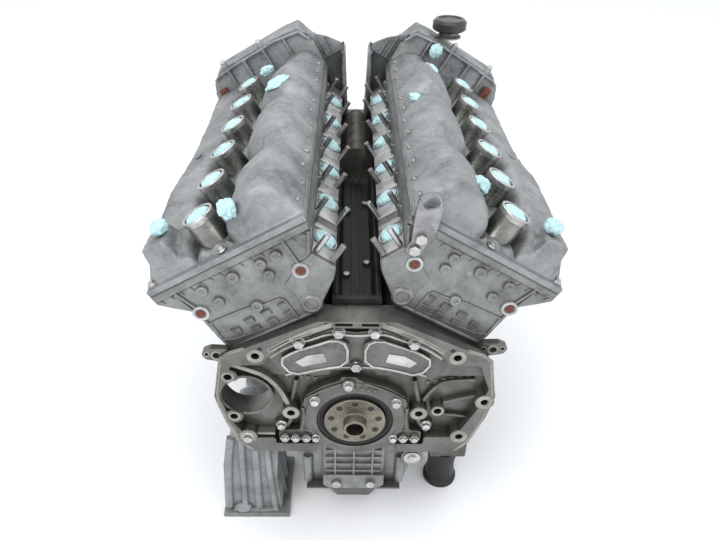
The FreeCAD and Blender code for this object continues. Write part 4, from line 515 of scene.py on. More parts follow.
class ENGINE_OT_stage(bpy.types.Operator):
    """Floor, backdrop light, lamps and the camera at the photograph's place"""

    bl_idname = "engine.stage"
    bl_label = "Stage and camera"

    def execute(self, context):
        s = settings()
        scene = context.scene
        bm = bmesh.new()
        bmesh.ops.create_grid(bm, x_segments=1, y_segments=1, size=6.0)
        bmesh.ops.translate(bm, verts=bm.verts, vec=(0, 1.0, s.floor_level / 1000))
        mesh = bpy.data.meshes.new("floor")
        bm.to_mesh(mesh)
        bm.free()
        floor = bpy.data.objects.new("floor", mesh)
        scene.collection.objects.link(floor)
        n = Nodes("pale_floor")
        n.wire("Base Color", (0.93, 0.93, 0.93, 1.0))
        n.wire("Roughness", 0.9)
        n.wire("Specular IOR Level", 0.1)
        mesh.materials.append(n.material)

        world = bpy.data.worlds.new("studio")
        scene.world = world
        world.use_nodes = True
        tree = world.node_tree
        back = tree.nodes["Background"]
        white = tree.nodes.new("ShaderNodeBackground")
        white.inputs["Color"].default_value = (1, 1, 1, 1)
        white.inputs["Strength"].default_value = 1.0
        back.inputs["Color"].default_value = (0.93, 0.96, 1.0, 1.0)
        back.inputs["Strength"].default_value = s.sky_strength
        rays = tree.nodes.new("ShaderNodeLightPath")
        seen = tree.nodes.new("ShaderNodeMath")
        seen.operation = "MAXIMUM"
        tree.links.new(rays.outputs["Is Camera Ray"], seen.inputs[0])
        mirror = tree.nodes.new("ShaderNodeMath")
        mirror.operation = "MAXIMUM"
        tree.links.new(rays.outputs["Is Transmission Ray"], mirror.inputs[0])
        tree.links.new(rays.outputs["Is Glossy Ray"], mirror.inputs[1])
        tree.links.new(mirror.outputs[0], seen.inputs[1])
        mix = tree.nodes.new("ShaderNodeMixShader")
        tree.links.new(seen.outputs[0], mix.inputs["Fac"])
        tree.links.new(back.outputs[0], mix.inputs[1])
        tree.links.new(white.outputs[0], mix.inputs[2])
        tree.links.new(mix.outputs[0], tree.nodes["World Output"].inputs["Surface"])

        for name, place, power, breadth in (
            ("key", (-1.1, -1.2, 2.2), s.key_power, 1.6),
            ("fill", (1.6, -1.4, 1.3), s.key_power * 0.35, 1.8),
            ("top", (0.2, 0.9, 2.6), s.key_power * 0.6, 1.8),
        ):
            lamp = bpy.data.lights.new(name, "AREA")
            lamp.energy = power
            lamp.size = breadth
            holder = bpy.data.objects.new(name, lamp)
            holder.location = place
            aim = Vector((0, 0.3, 0.1)) - Vector(place)
            holder.rotation_mode = "QUATERNION"
            holder.rotation_quaternion = aim.to_track_quat("-Z", "Y")
            scene.collection.objects.link(holder)

        down, yaw, roll = (math.radians(a) for a in (CAMERA_DOWN, CAMERA_YAW, CAMERA_ROLL))
        ahead = Vector((math.sin(yaw) * math.cos(down), math.cos(yaw) * math.cos(down), -math.sin(down)))
        level = ahead.cross(Vector((0, 0, 1))).normalized()
        rise = level.cross(ahead)
        right = math.cos(roll) * level + math.sin(roll) * rise
        up = -math.sin(roll) * level + math.cos(roll) * rise
        camera = bpy.data.cameras.new("camera")
        camera.sensor_width = 36.0
        camera.lens = CAMERA_LENS
        camera.clip_start, camera.clip_end = 0.05, 60.0
        view = bpy.data.objects.new("camera", camera)
        turn = Matrix((right, up, -ahead)).transposed().to_4x4()
        view.matrix_world = Matrix.Translation(Vector(CAMERA_PLACE) / 1000) @ turn
        scene.collection.objects.link(view)
        scene.camera = view
        scene.view_settings.view_transform = "Standard"
        return {"FINISHED"}


# Carried-over solids


class ENGINE_OT_finishes(bpy.types.Operator):
    """Gives each carried-over solid the material of its slot"""

    bl_idname = "engine.finishes"
    bl_label = "Finishes of the solids"

    def execute(self, context):
        slots = {part["node"]: part["material_slot"] for part in frame["record"]["subparts"]}
        special = {"lifting_eye": "eye_steel", "spark_plug_tubes": "tube_steel",
                   "mount_bracket_left": "bracket_cast", "valley_cover": "valley_dark"}
        for name, piece in frame["nodes"].items():
            look = special.get(name, slots.get(name, "bright_steel"))
            piece.data.materials.clear()
            piece.data.materials.append(finish(look))
        return {"FINISHED"}


# Head covers

HUMP = [(2, 2), (7, 27), (26, 48), (60, 60), (82, 57), (100, 32), (109, 2)]
DIP = [(20, 2), (25, 21), (38, 36), (62, 46), (84, 43), (100, 26), (109, 2)]
HUMPS_ALONG = [(28, 0.1), (42, 0.9), (96, 1), (140, 1), (174, 0.3), (210, 0), (244, 0.9), (290, 1),
               (334, 1), (364, 0.3), (386, 0), (414, 0.9), (455, 1), (500, 1), (532, 0.3), (560, 0),
               (581, 0), (602, 0), (640, 0)]
RIM_ALONG = {
    LEFT: [(30, 20), (44, 27), (60, 33), (98, 38), (157, 43), (227, 46), (262, 44), (352, 39),
           (517, 39), (590, 42)],
    RIGHT: [(30, 20), (42, 27), (70, 42), (110, 48), (200, 50), (260, 50), (313, 44), (389, 39),
            (517, 39), (590, 39)],
}
DIMPLES = list(zip((104, 105) * 6, (52, 99, 148, 197, 246, 295, 344, 393, 442, 491, 540, 589)))
STUDS = [(27, 12.5), (121, -16.5), (222, 12.5), (319, -16.5), (411, 12.5), (517, -16.5), (600, 12.5)]


def cover_height(side, w, y):
    """Height of the head cover up the bank, in millimetres."""
    flat = FOOT + 8
    share = min(1.0, max(0.0, curve(HUMPS_ALONG, y)))
    outline = [(share * a + (1 - share) * c, share * b + (1 - share) * d) for (a, b), (c, d) in zip(HUMP, DIP)]
    edge = outline[0][0]
    hood = FOOT + curve(outline, w) if edge < w < 109 else flat
    hood -= 3.0 * step(0.35, 0.0, share) * step(30, 60, w) * (1 - step(80, 104, w))
    hood = flat + max(0.0, hood - flat) * step(26, 38, y)
    rise = curve(RIM_ALONG[side], y)
    rim = [(-122, 2), (-120, rise - 9), (-108, rise - 1), (-84, rise), (-62, rise - 2), (-51, 0.6 * rise),
           (-46.5, 2)]
    outer = FOOT + curve(rim, w) if -122 < w < -46.5 else flat
    outer = flat + max(0.0, outer - flat) * step(27, 36, y)
    trough = flat + (6 + 2 * math.sin(w * 0.3)) * step(-50, -44, w) * (1 - step(edge - 6, edge + 2, w))
    height = max(hood, outer, trough * step(30, 40, y) + flat * (1 - step(30, 40, y)))
    lump = step(31, 41, y) * (1 - step(84, 94, y)) * step(-114, -103, w) * (1 - step(-74, -62, w))
    height = max(height, flat + (COVER_LUMP - flat) * lump)
    for w0, y0 in DIMPLES:
        away = math.hypot(w - w0, (y - y0))
        if away < 7:
            height -= 5.0 * (1 - step(2.5, 6.5, away)) * step(flat + 2, flat + 9, height)
    start = CASE_START - lead(side)
    case = FOOT + 84 - 15.5 * step(-84, -104, w) - 19.5 * step(-104, -118, w)
    case -= 3 * step(60, 92, w) + 38 * step(92, 111, w)
    wall = step(start + 0.5, start + 5.5, y) * step(-120, -116.5, w)
    height += max(0.0, case - height) * wall
    return height


class ENGINE_OT_covers(bpy.types.Operator):
    """The rough cast head covers: a humped inner hood, a lower outer half and a raised timing end"""

    bl_idname = "engine.covers"
    bl_label = "Head covers"

    def execute(self, context):
        for side in (LEFT, RIGHT):
            rear, front = COVER_Y[0], COVER_Y[1] - lead(side)
            low, high = COVER_W
            bm = bmesh.new()
            bmesh.ops.create_grid(bm, x_segments=150, y_segments=380, size=0.5)
            for vertex in bm.verts:
                w = low + (high - low) * (vertex.co.x + 0.5)
                y = rear + (front - rear) * (vertex.co.y + 0.5)
                u = cover_height(side, w, y)
                rough = noise.fractal(Vector((w, y, side * 40)) * 0.06, 0.8, 2.1, 5) * 1.5 - 0.9
                inside = min(w - low, high - w, y - rear, front - y)
                u += rough * step(4, 14, inside) * step(330, 345, u)
                vertex.co = bank_point(side, w, y, u)
            rim = [e for e in bm.edges if e.is_boundary]
            made = bmesh.ops.extrude_edge_only(bm, edges=rim)
            skirt = [g for g in made["geom"] if isinstance(g, bmesh.types.BMVert)]
            upright = bank_matrix(side, 0, 0, 0)
            for vertex in skirt:
                local = upright.inverted() @ vertex.co
                local.z = (FOOT + 0.2) / 1000
                vertex.co = upright @ local
            closed = bmesh.ops.holes_fill(bm, edges=[e for e in bm.edges if e.is_boundary])["faces"]
            # the underside is raised within its rim, clear of the cams
            bmesh.ops.inset_region(bm, faces=closed, thickness=0.014)
            raised = list({v for face in closed for v in face.verts})
            bmesh.ops.translate(bm, verts=raised, vec=upright.to_3x3() @ Vector((0, 0, 0.0055)))
            piece = settle(f"cover_casting_{WORD[side]}", bm, "rough_cast", sharp=55)
            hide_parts(f"head_cover_{WORD[side]}")
        return {"FINISHED"}


# Head ends and intake flanges

# Runs of points (w, u), width, low, high and, where it differs, how far the top is drawn in and rounding
HEAD_RIDGES = (
    (((-84, 246), (-55, 245), (-23, 243), (-20, 238), (20, 236), (24, 230), (24, 193)), 2.4, 0, 2.2),
    (((-86, 212), (-84, 246)), 2.4, 0, 2.0),
    (((-86, 214), (-70, 207), (24, 201)), 1.8, 0, 1.6),
    (((70, 312), (70, 271)), 4.2, 0, 3.2),
    (((-85, 277), (-95, 312)), 3.6, 0, 2.8),
    (((40, 216), (48, 225), (62, 226), (70, 218)), 3.0, 1.0, 3.4, 0.35, 1),
    (((-124, 311), (-90, 311), (60, 311), (109, 311)), 11.0, 0, 2.4, 0.42),
    (((-97, 306), (-93, 283), (-86, 252), (-87, 214), (-84, 196)), 3.4, 0, 2.6, 0.35, 1),
    (((106, 306), (88, 277)), 4.0, 0, 3.0),
    (((-84, 195), (48, 195)), 6.0, 0, 2.0, 0.4),
)
HEAD_PAD = ((38, 252), (56, 262), (60, 271), (80, 272), (92, 276), (107, 245), (98, 232), (53, 194), (43, 192))


class ENGINE_OT_heads(bpy.types.Operator):
    """Cast details of the cylinder heads: rear bosses, panels, flange bands and intake flanges"""

    bl_idname = "engine.heads"
    bl_label = "Cylinder heads"

    def execute(self, context):
        cast, pale, rust, dark = (bmesh.new() for _ in range(4))
        for side in (LEFT, RIGHT):
            plane = bank_rear_matrix(side, 0, 18, 0)

            def spot(w, u):
                return at(plane, -side * w, u)

            buttons = [(28.7, 294), (29, 275), (-60, 295), (-51.6, 270)] + ([(52.4, 295)] if side == LEFT else [])
            for w, u in buttons:
                lathe(cast, [(7.6, 0), (7.4, 3.6), (6.6, 4.6), (4.4, 4.8), (3.6, 3.9), (0, 3.9)], spot(w, u), 24)
                block(cast, spot(w, u), (-5.5, -1.1, 3.6), (5.5, 1.1, 5.0), 0.4)
            for w, u in ((-13.7, 293.5), (-12.5, 240)):
                lathe(cast, [(8.6, 0), (8.4, 3.2), (7.4, 4.4), (3.6, 4.4), (2.8, 3.4), (2.8, 0.6), (0, 0.6)],
                      spot(w, u), 24)
                disc(pale, spot(w, u), 2.2, 0.6, 2.6, 10)
            lathe(dark, [(3.4, 0.0), (3.4, 0.25), (0, 0.25)], spot(-3, 284), 14)
            for w, u in ((67.5, 261.2), (-83.5, 266.2)):
                lathe(pale, [(11.6, 0), (11.4, 3.3), (10.4, 3.9), (8.6, 3.9), (8.0, 3.4), (8.0, 2.6)],
                      spot(w, u), 28)
                lathe(rust, [(8.0, 3.0), (7.2, 2.4), (0, 2.5)], spot(w, u), 24)
            for w, u in ((17.8, 224), (17.8, 208), (-8.8, 224), (-8.8, 208), (-35, 224), (-35, 208), (-60, 218)):
                block(cast, spot(w, u), (-6.6, -5.2, 0), (6.6, 5.2, 2.9), 0.9, 0.16)
            for points, *sizes in HEAD_RIDGES:
                ridge(cast, plane, across(side, points), *sizes)
            slab(cast, plane, across(side, HEAD_PAD)[::side], 0, 1.9, 0.8)
            lathe(cast, [(15, 1.5), (14.4, 3.2), (11.4, 5.2), (9.6, 4.6), (8.8, 3.0), (5, 2.4), (0, 2.4)],
                  spot(52, 209), 26)
            for index in range(15):
                w = -118 + 15.4 * index
                if abs(w - 70) > 8:
                    ridge(cast, plane, across(side, [(w, 306), (w + 3, 300)]), 1.6, 0, 1.4)
            # the intake flange, its port rims, stud pads and the conical bosses beside it
            last = 623 - lead(side)
            flange = bank_matrix(side, FLANGE_W, 0, FLANGE_U, PORT_LEAN)
            for index in CYLINDERS:
                y = cylinder_y(index)
                lathe(pale, [(16.1, -7), (16.1, 0.9), (16.8, 1.3), (18.4, 1.3), (18.6, 0.0)], at(flange, 0, y), 32)
                for gap in ((-49, -19.5), (19.5, 30)) if index == 0 else ((-49, -19.5), (19.5, 49)):
                    low, high = max(24, y + gap[0]), min(last, y + gap[1])
                    block(pale, flange, (-17.6, low, 0), (17.6, high, 1.2), 0.5)
                cone = bank_matrix(side, 94, y + 34, 285, PORT_LEAN * 0.9)
                lathe(cast, [(13, -14), (9.5, -3), (6.4, 6), (5.8, 8), (5.0, 8.6), (3.4, 8.6), (2.8, 7.6),
                             (2.8, 2), (0, 2)], cone, 24)
            for y, offset in STUDS:
                here = at(flange, -side * offset, y)
                disc(dark, here, 5.2, 1.0, 1.7, 12)
                for turn in range(11):
                    disc(dark, here, 4.25, 2.0 + 2.4 * turn, 3.3 + 2.4 * turn, 10, 3.95)
        settle("head_details", cast, "head_cast")
        settle("intake_flange_faces", pale, "machined_pale")
        settle("core_plug_dishes", rust, "rusty_steel")
        settle("stud_threads", dark, "stud_steel")
        return {"FINISHED"}


class ENGINE_OT_cover_trim(bpy.types.Operator):
    """Bolts, timing end corners, posts and plugs of the head covers"""

    bl_idname = "engine.cover_trim"
    bl_label = "Head cover trim"

    def execute(self, context):
        cast, bolts, rust = (bmesh.new() for _ in range(3))
        for side in (LEFT, RIGHT):
            rear = CASE_START - lead(side)
            for w, y in DIMPLES:
                level = cover_height(side, w, y)
                socket_bolt(bolts, bank_matrix(side, w, y, level - 0.6), 4.0, 3.6)
            for y in (30, 128, 226, 324, 422, 520, 604):
                here = bank_matrix(side, -118.5, y, FOOT + 7.6)
                disc(cast, here, 8.4, -5, 2.4, 20, 7.4, 0.6)
                hex_bolt(bolts, at(here, 0, 0, 2.4), 4.6, 4.4, 6.2)
            for w, y in ((-8, 30), (-26, 115), (-26, 213), (-26, 311), (-26, 409), (-26, 507)):
                hex_bolt(bolts, bank_matrix(side, w, y, FOOT + 9.5), 4.8, 5.0, 6.6)
            wall = bank_rear_matrix(side, 0, rear, FOOT)
            for w in (-66, -28, 16, 62):
                ridge(cast, wall, across(side, [(w, 30), (w, 80)]), 4.4, 0, 4.2)
            ridge(cast, wall, across(side, [(-100, 70), (-84, 78), (90, 80), (106, 52)]), 5.0, 0, 4.0, times=1)
            for w in (-70, 14):
                disc(cast, bank_matrix(side, w, rear + 9, FOOT + 72), 7.0, 0, 21, 20, 6.0, 1.0)
                hex_bolt(bolts, bank_matrix(side, w, rear + 9, FOOT + 92.6), 4.4, 4.0, 5.6)
            corner = bank_rear_matrix(side, 0, rear + 12.3, FOOT)
            slab(cast, corner, across(side, [(100, 0.5), (100, 66), (112, 58), (137, 37), (155, 14),
                                             (152, 0.5)])[::side], 0, 1.6, 0.7)
            for w, top in ((106, 60), (120, 49), (134, 38)):
                ridge(cast, corner, across(side, [(w, 3), (w, top)]), 3.2, 1.0, 5.0)
            lathe(cast, [(6.2, 0), (6.0, 21), (5.0, 22), (3.2, 22), (2.4, 21), (2.4, 16), (0, 16)],
                  bank_matrix(side, -92, 325, FOOT + 22), 18)
            w, rise = (-97, 40) if side == LEFT else (-89, 49)
            block(rust, bank_matrix(side, w, rear - 4, FOOT + rise), (-7.5, -4, -11), (7.5, 4, 11), 1.0)
        settle("cover_bosses", cast, "rough_cast")
        settle("cover_bolts", bolts, "bright_steel")
        settle("cover_plugs", rust, "rusty_steel")
        return {"FINISHED"}


# Bell housing face, seal housing and crankshaft end

BELL_HOLES = [(-178, 88, 10.6), (-176, 9, 10.6), (-159, -35, 14), (-93, 17, 13), (186, 42, 14),
              (157, -32, 14), (93, 17, 13), (120, 23, 10)]
RIM_PATH = [(-153, -64), (-172, -45), (-186, -3), (-196, 42), (-196, 56), (-184, 122), (-171, 132), (-150, 140)]
RIM_PATH_RIGHT = [(153, -64), (170, -43), (188, 10), (196, 52), (184, 122), (171, 132), (150, 140)]


class ENGINE_OT_bell(bpy.types.Operator):
    """Ribs, machined rims and bosses of the bell housing flange"""

    bl_idname = "engine.bell"
    bl_label = "Bell housing face"

    def execute(self, context):
        cast, pale, dark, bolts = (bmesh.new() for _ in range(4))
        face = rear_matrix(0, 0, 0)
        for x, z, radius in BELL_HOLES:
            lathe(pale, [(radius - 1.2, 0.0), (radius - 1.4, 0.5), (6.4, 0.5), (5.6, -0.4), (5.6, -6)],
                  at(face, x, z), 28)
        for x, z in ((-137, 128), (138, 128)):
            lathe(pale, [(12, 0.0), (11.8, 0.5), (6.4, 0.5), (5.6, -0.4), (5.6, -6)], at(face, x, z), 24)
        for side in (LEFT, RIGHT):
            for dw, du in ((-102, 13), (-112.5, 21.5), (-90, 7.5)):
                outer, inner = (8.4, 5.2) if dw == -102 else (4.6, 2.6)
                spot = bank_rear_matrix(side, dw, 4, 190 + du)
                lathe(pale, [(outer, 0), (outer - 0.2, 0.5), (inner + 0.4, 0.5), (inner, 0), (inner, -5)], spot, 22)
        # painted shade: thin black discs where the holes show dark
        for x, z in ((-130, 141), (130, 141), (-40, 184.5), (40, 184.5)):
            lathe(dark, [(3.6, 0), (3.6, 0.15), (0, 0.15)], at(face, x, z), 14)
        # long ribs and webs on the wall of the bell
        wall = rear_matrix(0, 17, 0)
        upper = rear_matrix(0, 13, 0)
        for bm, points, width, high, times in (
                (pale, [(-172, 107), (-150, 98), (-128, 87), (-109, 63), (-97, 30)], 7, 14, 1),
                (pale, [(-148, -33), (-119, -33)], 4, 14, 0),
                (cast, [(170, 76), (128, 72), (112, 58), (100, 34)], 6, 8, 2),
                (cast, [(128, 30), (150, 38), (178, 46)], 5, 9, 1),
                (cast, [(176, -4), (150, 2), (128, 4)], 5, 7, 0),
                (cast, [(118, -40), (150, -36)], 5, 12, 0)):
            ridge(bm, wall, points, width, 0, high, times=times)
        for side in (LEFT, RIGHT):
            ridge(cast, wall, [(side * 93, 4), (side * 96, -14), (side * 108, -32)], 6, 0, 9, times=1)
            ridge(cast, wall, [(side * 93, 30), (side * 88, 52), (side * 84, 74)], 6, 0, 8, times=1)
            ridge(cast, upper, [(side * 122, 122), (side * 98, 141), (side * 64, 162), (side * 36, 176)], 3, 0, 9)
        raised_bars(cast, wall, ((-109, 78), (-57, 70)), 9)
        raised_bars(cast, wall, ((104, 64), (160, 78)), 9)
        # the machined rim and the band below the valley
        for points in (RIM_PATH, RIM_PATH_RIGHT):
            ridge(pale, face, points, 7.0, -0.3, 0.35, soften=0.46)
        band = [(34, 181), (60, 170), (90, 153), (118, 134), (120, 141), (92, 160), (60, 178), (34, 188)]
        for side in (LEFT, RIGHT):
            slab(pale, face, [(side * x, z) for x, z in band][::side], -0.2, 0.3, 0)
        # painted shade: thin black strips where the slots show dark
        for side in (LEFT, RIGHT):
            for (x0, z0), (x1, z1) in (((118, 139), (90, 158)), ((84, 160), (60, 172))):
                ridge(dark, face, [(side * x0, z0), (side * x1, z1)], 3.0, 0.2, 0.5, soften=0.45)
        hex_bolt(bolts, at(rear_matrix(0, -0.5, 0), -159, -35), 6.8, 7, 9.6)
        for x, z in ((-109, -18.5), (106.7, -16.4)):
            disc(cast, at(wall, x, z), 11, 0, 8, 22, 9)
            hex_bolt(bolts, at(wall, x, z, 8), 6.4, 6, 8.6)
        settle("bell_casting_details", cast, "block_cast")
        settle("bell_machined_faces", pale, "machined_block")
        settle("bell_slots", dark, "black_rubber")
        settle("bell_bolts", bolts, "bright_steel")
        return {"FINISHED"}


def raised_bars(bm, matrix, ends, height):
    """A row of plain raised bars where the casting carries a blank field."""
    (x0, z0), (x1, z1) = ends
    for index in range(6):
        share = index / 5
        here = at(matrix, x0 + (x1 - x0) * share, z0 + (z1 - z0) * share)
        block(bm, here, (-3.4, -height / 2, 0), (3.4, height / 2, 1.6), 0.6)


class ENGINE_OT_bracket(bpy.types.Operator):
    """Flutes, lobes and the foot rim of the cast bracket at the left"""

    bl_idname = "engine.bracket"
    bl_label = "Left bracket"

    def execute(self, context):
        cast = bmesh.new()
        rear = rear_matrix(0, 38.5, 0)
        for points, width, high in (
                ([(-196, -84), (-207, -150), (-214, -262)], 13, 5.0),
                ([(-178, -66), (-182, -150), (-186, -266)], 9, 6.5),
                ([(-158, -60), (-160, -150), (-162, -268)], 12, 5.0),
                ([(-138, -62), (-140, -150), (-134, -268)], 9, 6.0),
                ([(-206, -266), (-186, -271), (-150, -272), (-128, -266)], 9, 7.0)):
            ridge(cast, rear, points, width, -4, high, 0.22, 2)
        for x, y, radius in ((-158, 74, 23.5), (-152, 112, 25.5)):
            here = Matrix.Translation(Vector((x, y, -88)) / 1000)
            lathe(cast, [(radius, 2), (radius + 0.6, 30), (radius, 57), (radius - 4, 62.4), (radius - 9, 63),
                         (0, 62)], here, 30)
        made = bmesh.ops.create_icosphere(cast, subdivisions=3, radius=0.013)
        lump = Matrix.Translation((-0.190, 0.036, -0.262)) @ Matrix.Diagonal((1.2, 0.7, 0.9, 1))
        bmesh.ops.transform(cast, verts=made["verts"], space=Matrix(), matrix=lump)
        settle("bracket_flutes", cast, "bracket_cast", sharp=60)
        return {"FINISHED"}


class ENGINE_OT_crank_end(bpy.types.Operator):
    """The seal housing, cover plate, seal lip and crankshaft flange as seen from the rear"""

    bl_idname = "engine.crank_end"
    bl_label = "Crankshaft end"

    def execute(self, context):
        cast, plate, steel, bright, dark = (bmesh.new() for _ in range(5))
        ring = rear_matrix(0, 4, 0)
        lathe(cast, [(56.5, -1), (56.5, 3.0), (58, 3.8), (62, 3.8), (64, 2.6), (70, 2.2), (74, 1.2), (75, -0.5)],
              ring, 72)
        ridge(cast, ring, [(-72, 44), (-46, 62), (-20, 74)], 4, -0.5, 3.4, times=1)
        ridge(cast, ring, [(72, 42), (46, 60), (12, 76)], 4, -0.5, 3.4, times=1)
        for side in (LEFT, RIGHT):
            ridge(cast, ring, [(side * 76, 26), (side * 74, 4), (side * 79, -22)], 4, -0.5, 3.2, times=1)
            ridge(cast, ring, [(side * 54, -44), (side * 62, -28), (side * 72, -20)], 4, -0.5, 3.0, times=1)
        for x, z in ((-2, 66), (9, 66), (19, 64), (28, 62)):
            block(cast, at(ring, x, z), (-3, -3.4, -0.5), (3, 3.4, 5), 0.9)
        for x, z in ((-10, 73), (-58, 42), (59, 39)):
            lathe(cast, [(10, -1), (9.6, 2.4), (8.6, 3.0), (4, 3.0)], at(ring, x, z), 24)
            hex_bolt(bright, at(ring, x, z, 3), 6.2, 6.5, 8.2)
        for x in (-104, -88, -72, -58, 58, 73, 90):
            disc(cast, at(ring, x, -37), 7.6, -1, 3.0, 20, 7.0, 0.6)
            hex_bolt(bright, at(ring, x, -37, 3), 5.2, 6.0, 6.8)
        lathe(dark, [(56, -4), (55, 1.2), (52.5, 1.8), (50.5, 0.4), (49, -2.4), (46.2, -3.4)], ring, 72)
        lathe(dark, [(46.1, -6), (46.1, -1.0), (46.9, -0.2), (48.2, -1.6)], ring, 72)
        flange = rear_matrix(0, 0, 0)
        lathe(steel, [(45.0, -8), (45.0, -0.9), (44.2, 0.35), (41.6, 0.35), (41.0, 0.1), (20.0, 0.1),
                      (18.4, 0.5), (17.2, 0.5)], flange, 72)
        for index in range(9):
            turn = math.tau * index / 9 + math.pi / 2
            here = at(flange, 35 * math.cos(turn), 35 * math.sin(turn))
            lathe(steel, [(6.4, 0.1), (6.2, 0.5), (5.5, 0.3), (4.9, -0.6), (4.9, -9)], here, 20)
            # painted shade: a thin black disc over each bolt hole
            lathe(dark, [(5.0, 0.16), (0, 0.16)], here, 16)
        lathe(steel, [(19.5, 0), (17.6, 0.8), (16.9, 2.0), (16.9, 14.6), (15.9, 15.9), (14.2, 15.9),
                      (13.1, 14.9), (13.1, -2)], flange, 48)
        # painted shade: a black disc a little way down the bore
        lathe(dark, [(13.0, -1.0), (0, -1.4)], flange, 32)
        # the rear cover plate
        top = rear_matrix(0, 2, 0)
        for side in (LEFT, RIGHT):
            ring_points = [(12, 111), (52, 103), (88, 91), (106, 119), (84, 136), (58, 146), (30, 158), (12, 148)]
            panel = [(40, 118), (74, 108), (84, 117), (66, 129), (44, 133)]
            ridge(plate, top, [(side * x, z) for x, z in ring_points], 3.4, -0.4, 1.8, times=1, closed=True)
            slab(plate, top, [(side * x, z) for x, z in panel][::side], -0.3, 1.2, 0.6)
            for x, z in ((77.5, 150), (24, 169)):
                here = at(rear_matrix(0, 4.5, 0), side * x, z)
                lathe(plate, [(9.4, -2), (9.0, 0.6), (8.0, 1.2), (4, 1.2)], here, 24)
                hex_bolt(bright, at(here, 0, 0, 1.2), 6.0, 6.0, 8.0)
        hex_bolt(bright, at(rear_matrix(0, 4.5, 0), 0, 108), 5.4, 6.0, 7.6)
        edge = rear_matrix(0, 7, 0)
        ridge(plate, edge, [(-118, 121), (-92, 141), (-62, 153), (-34, 166), (0, 160), (34, 166), (62, 153),
                            (92, 141), (118, 121)], 3.4, -0.4, 2.4, times=2)
        ridge(plate, edge, [(-98, 88), (-60, 99), (-24, 104), (24, 104), (60, 99), (98, 88)], 3.0, -0.4, 2.4,
              times=2)
        settle("seal_housing_details", cast, "block_cast")
        settle("cover_plate_details", plate, "plate_cast")
        settle("crank_flange_face", steel, "brown_steel")
        settle("crank_end_bolts", bright, "bright_steel")
        settle("seal_lip", dark, "black_rubber")
        return {"FINISHED"}


# Plug tubes and paper


def wad(bm, matrix, radius, height, seed, depth=0.35, detail=4):
    """A crumpled wad of paper that fills a mouth."""
    made = bmesh.ops.create_icosphere(bm, subdivisions=detail, radius=1.0)
    for vertex in made["verts"]:
        p = vertex.co.copy()
        key = p * 1.25 + Vector((seed * 3.7, seed * 1.3, seed * 2.1))
        fold = noise.voronoi(key, distance_metric="DISTANCE", exponent=2.5)[0]
        crease = (fold[1] - fold[0]) * 0.5
        ripple = noise.fractal(key * 1.1, 0.9, 2.1, 3) * 0.16
        reach = 1.0 - depth * 0.5 + crease * depth + ripple * (0.6 if p.z > -0.2 else 0.1)
        flat = Vector((p.x * reach, p.y * reach, p.z * (0.8 + crease * 0.5 + ripple)))
        if p.z < 0:
            flat.x *= 0.92
            flat.y *= 0.92
        vertex.co = matrix @ Vector((flat.x * radius / 1000, flat.y * radius / 1000, flat.z * height / 1000))


class ENGINE_OT_papers(bpy.types.Operator):
    """Crumpled blue paper in the intake ports, the plug tubes and the breathers"""

    bl_idname = "engine.papers"
    bl_label = "Paper plugs"

    def execute(self, context):
        s = settings()
        ports, tubes, rags = (bmesh.new() for _ in range(3))
        for side in (LEFT, RIGHT):
            for index in CYLINDERS:
                seed = index + (7 if side == RIGHT else 0) + 1
                here = bank_matrix(side, FLANGE_W, cylinder_y(index), FLANGE_U, PORT_LEAN)
                wad(ports, here, 17.2, 8.5, seed, 0.24)
                here = bank_matrix(side, s.tube_across, cylinder_y(index), 369)
                wad(tubes, here, 18.9, 6.0, seed + 20, 0.2)
        piece = settle("port_paper", ports, "cyan_paper", sharp=24)
        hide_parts("intake_port_plugs")
        piece = settle("tube_paper", tubes, "cyan_paper", sharp=24)
        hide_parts("tube_plugs")
        for index, (side, w, y, u, radius, height) in enumerate((
            (LEFT, 30, 34, 372, 14, 15), (LEFT, 60, 430, 374, 24, 11), (LEFT, 20, 560, 372, 14, 11),
            (LEFT, -76, 62, 380, 15, 12), (RIGHT, 26, 100, 366, 15, 15), (RIGHT, 60, 505, 372, 15, 11),
            (RIGHT, 47, 600, 386, 15, 17), (RIGHT, -78, 62, 380, 15, 13), (RIGHT, 92, 356, 352, 14, 10))):
            spread = Matrix.Diagonal((1.0 + 0.12 * (index % 3), 1.25 - 0.1 * (index % 4), 1.0, 1.0))
            wad(rags, bank_matrix(side, w, y, u) @ spread, radius, height, 50 + index, 0.45)
        settle("breather_paper", rags, "cyan_paper", sharp=24)
        return {"FINISHED"}


class ENGINE_OT_tubes(bpy.types.Operator):
    """Plug tubes with turned rims"""

    bl_idname = "engine.tubes"
    bl_label = "Spark plug tubes"

    def execute(self, context):
        s = settings()
        pipes, rims = bmesh.new(), bmesh.new()
        for side in (LEFT, RIGHT):
            for index in CYLINDERS:
                here = bank_matrix(side, s.tube_across, cylinder_y(index), TUBE_FOOT)
                top = s.tube_mouth - TUBE_FOOT
                lathe(pipes, [(18.6, 14), (18.6, 0), (24, 0), (24, 9), (22.4, 11), (21.6, top - 15),
                              (21.2, top - 9), (18.6, top - 9), (18.6, 14)], here)
                lathe(rims, [(18.6, top - 8.9), (22.0, top - 8.9), (22.3, top - 8), (22.3, top - 1), (21.3, top),
                             (19.2, top), (18.6, top - 0.8), (18.6, top - 8.9)], here)
        piece = settle("plug_tubes", pipes, "tube_steel")
        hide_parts("spark_plug_tubes")
        settle("tube_rims", rims, "bright_steel")
        return {"FINISHED"}


# Settings, panel and run


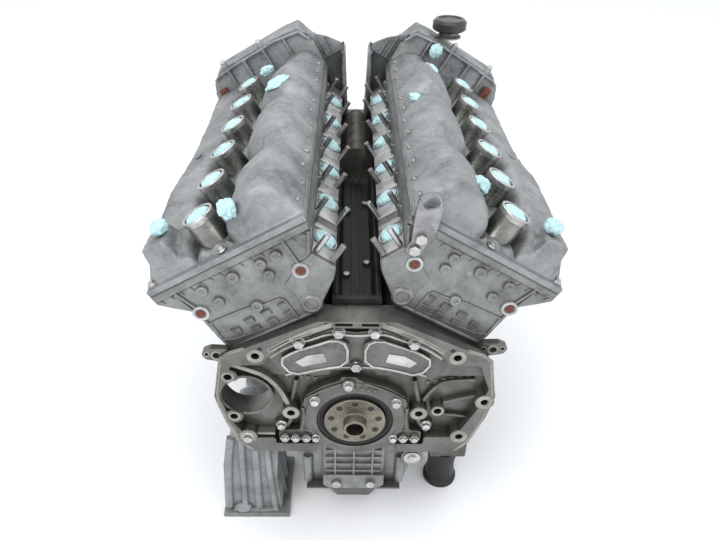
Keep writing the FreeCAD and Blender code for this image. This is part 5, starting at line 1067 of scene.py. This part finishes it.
class EngineDress(bpy.types.PropertyGroup):
    first_bore: FloatProperty(name="First bore", description="Rearmost left bore, mm", default=66.0)
    bore_pitch: FloatProperty(name="Bore pitch", description="From bore to bore, mm", default=98.0)
    bank_step: FloatProperty(name="Bank step", description="The right bank sits this much forward, mm",
                                       default=17.0)
    tube_across: FloatProperty(name="Tube offset", description="Plug tubes from the bore axis, mm",
                                         default=-23.0)
    tube_mouth: FloatProperty(name="Tube mouth", description="Height of the tube mouths, mm",
                                        default=372.0)
    floor_level: FloatProperty(name="Floor", description="Height of the floor, mm", default=-280.0)
    sky_strength: FloatProperty(name="Sky strength", description="Strength of the soft light all round",
                                          default=1.08)
    key_power: FloatProperty(name="Key power", description="Power of the key lamp", subtype="POWER",
                                       default=30.0)
    cover_colour: FloatVectorProperty(name="Cover colour",
                                                description="Rough cast aluminium of the head covers",
                                                subtype="COLOR", default=(0.285, 0.30, 0.305))
    head_colour: FloatVectorProperty(name="Head colour", description="Satin cast aluminium of the heads",
                                               subtype="COLOR", default=(0.235, 0.24, 0.236))
    block_colour: FloatVectorProperty(name="Block colour",
                                                description="Darker cast aluminium of the block",
                                                subtype="COLOR", default=(0.15, 0.148, 0.138))
    crank_colour: FloatVectorProperty(name="Crank colour",
                                                description="Oil-stained steel of the crankshaft",
                                                subtype="COLOR", default=(0.215, 0.20, 0.16))
    paper_colour: FloatVectorProperty(name="Paper colour", description="Blue paper in the openings",
                                                subtype="COLOR", default=(0.42, 0.62, 0.65))


class ENGINE_PT_panel(bpy.types.Panel):
    bl_label = "V-twelve engine"
    bl_idname = "ENGINE_PT_panel"
    bl_space_type = "VIEW_3D"
    bl_region_type = "UI"
    bl_category = "Engine"

    def draw(self, context):
        for name in EngineDress.__annotations__:
            self.layout.prop(context.scene.engine_dress, name)
        for operator in OPERATORS:
            self.layout.operator(operator.bl_idname)


OPERATORS = (ENGINE_OT_stage, ENGINE_OT_finishes, ENGINE_OT_covers, ENGINE_OT_cover_trim, ENGINE_OT_heads,
             ENGINE_OT_bell, ENGINE_OT_bracket, ENGINE_OT_crank_end, ENGINE_OT_tubes, ENGINE_OT_papers)


def register():
    for item in (EngineDress, *OPERATORS, ENGINE_PT_panel):
        bpy.utils.register_class(item)
    bpy.types.Scene.engine_dress = PointerProperty(type=EngineDress)


def unregister():
    del bpy.types.Scene.engine_dress
    for item in (ENGINE_PT_panel, *reversed(OPERATORS), EngineDress):
        bpy.utils.unregister_class(item)


def main():
    register()
    for operator in OPERATORS:
        group, name = operator.bl_idname.split(".")
        getattr(getattr(bpy.ops, group), name)()


if __name__ == "__main__":
    main()
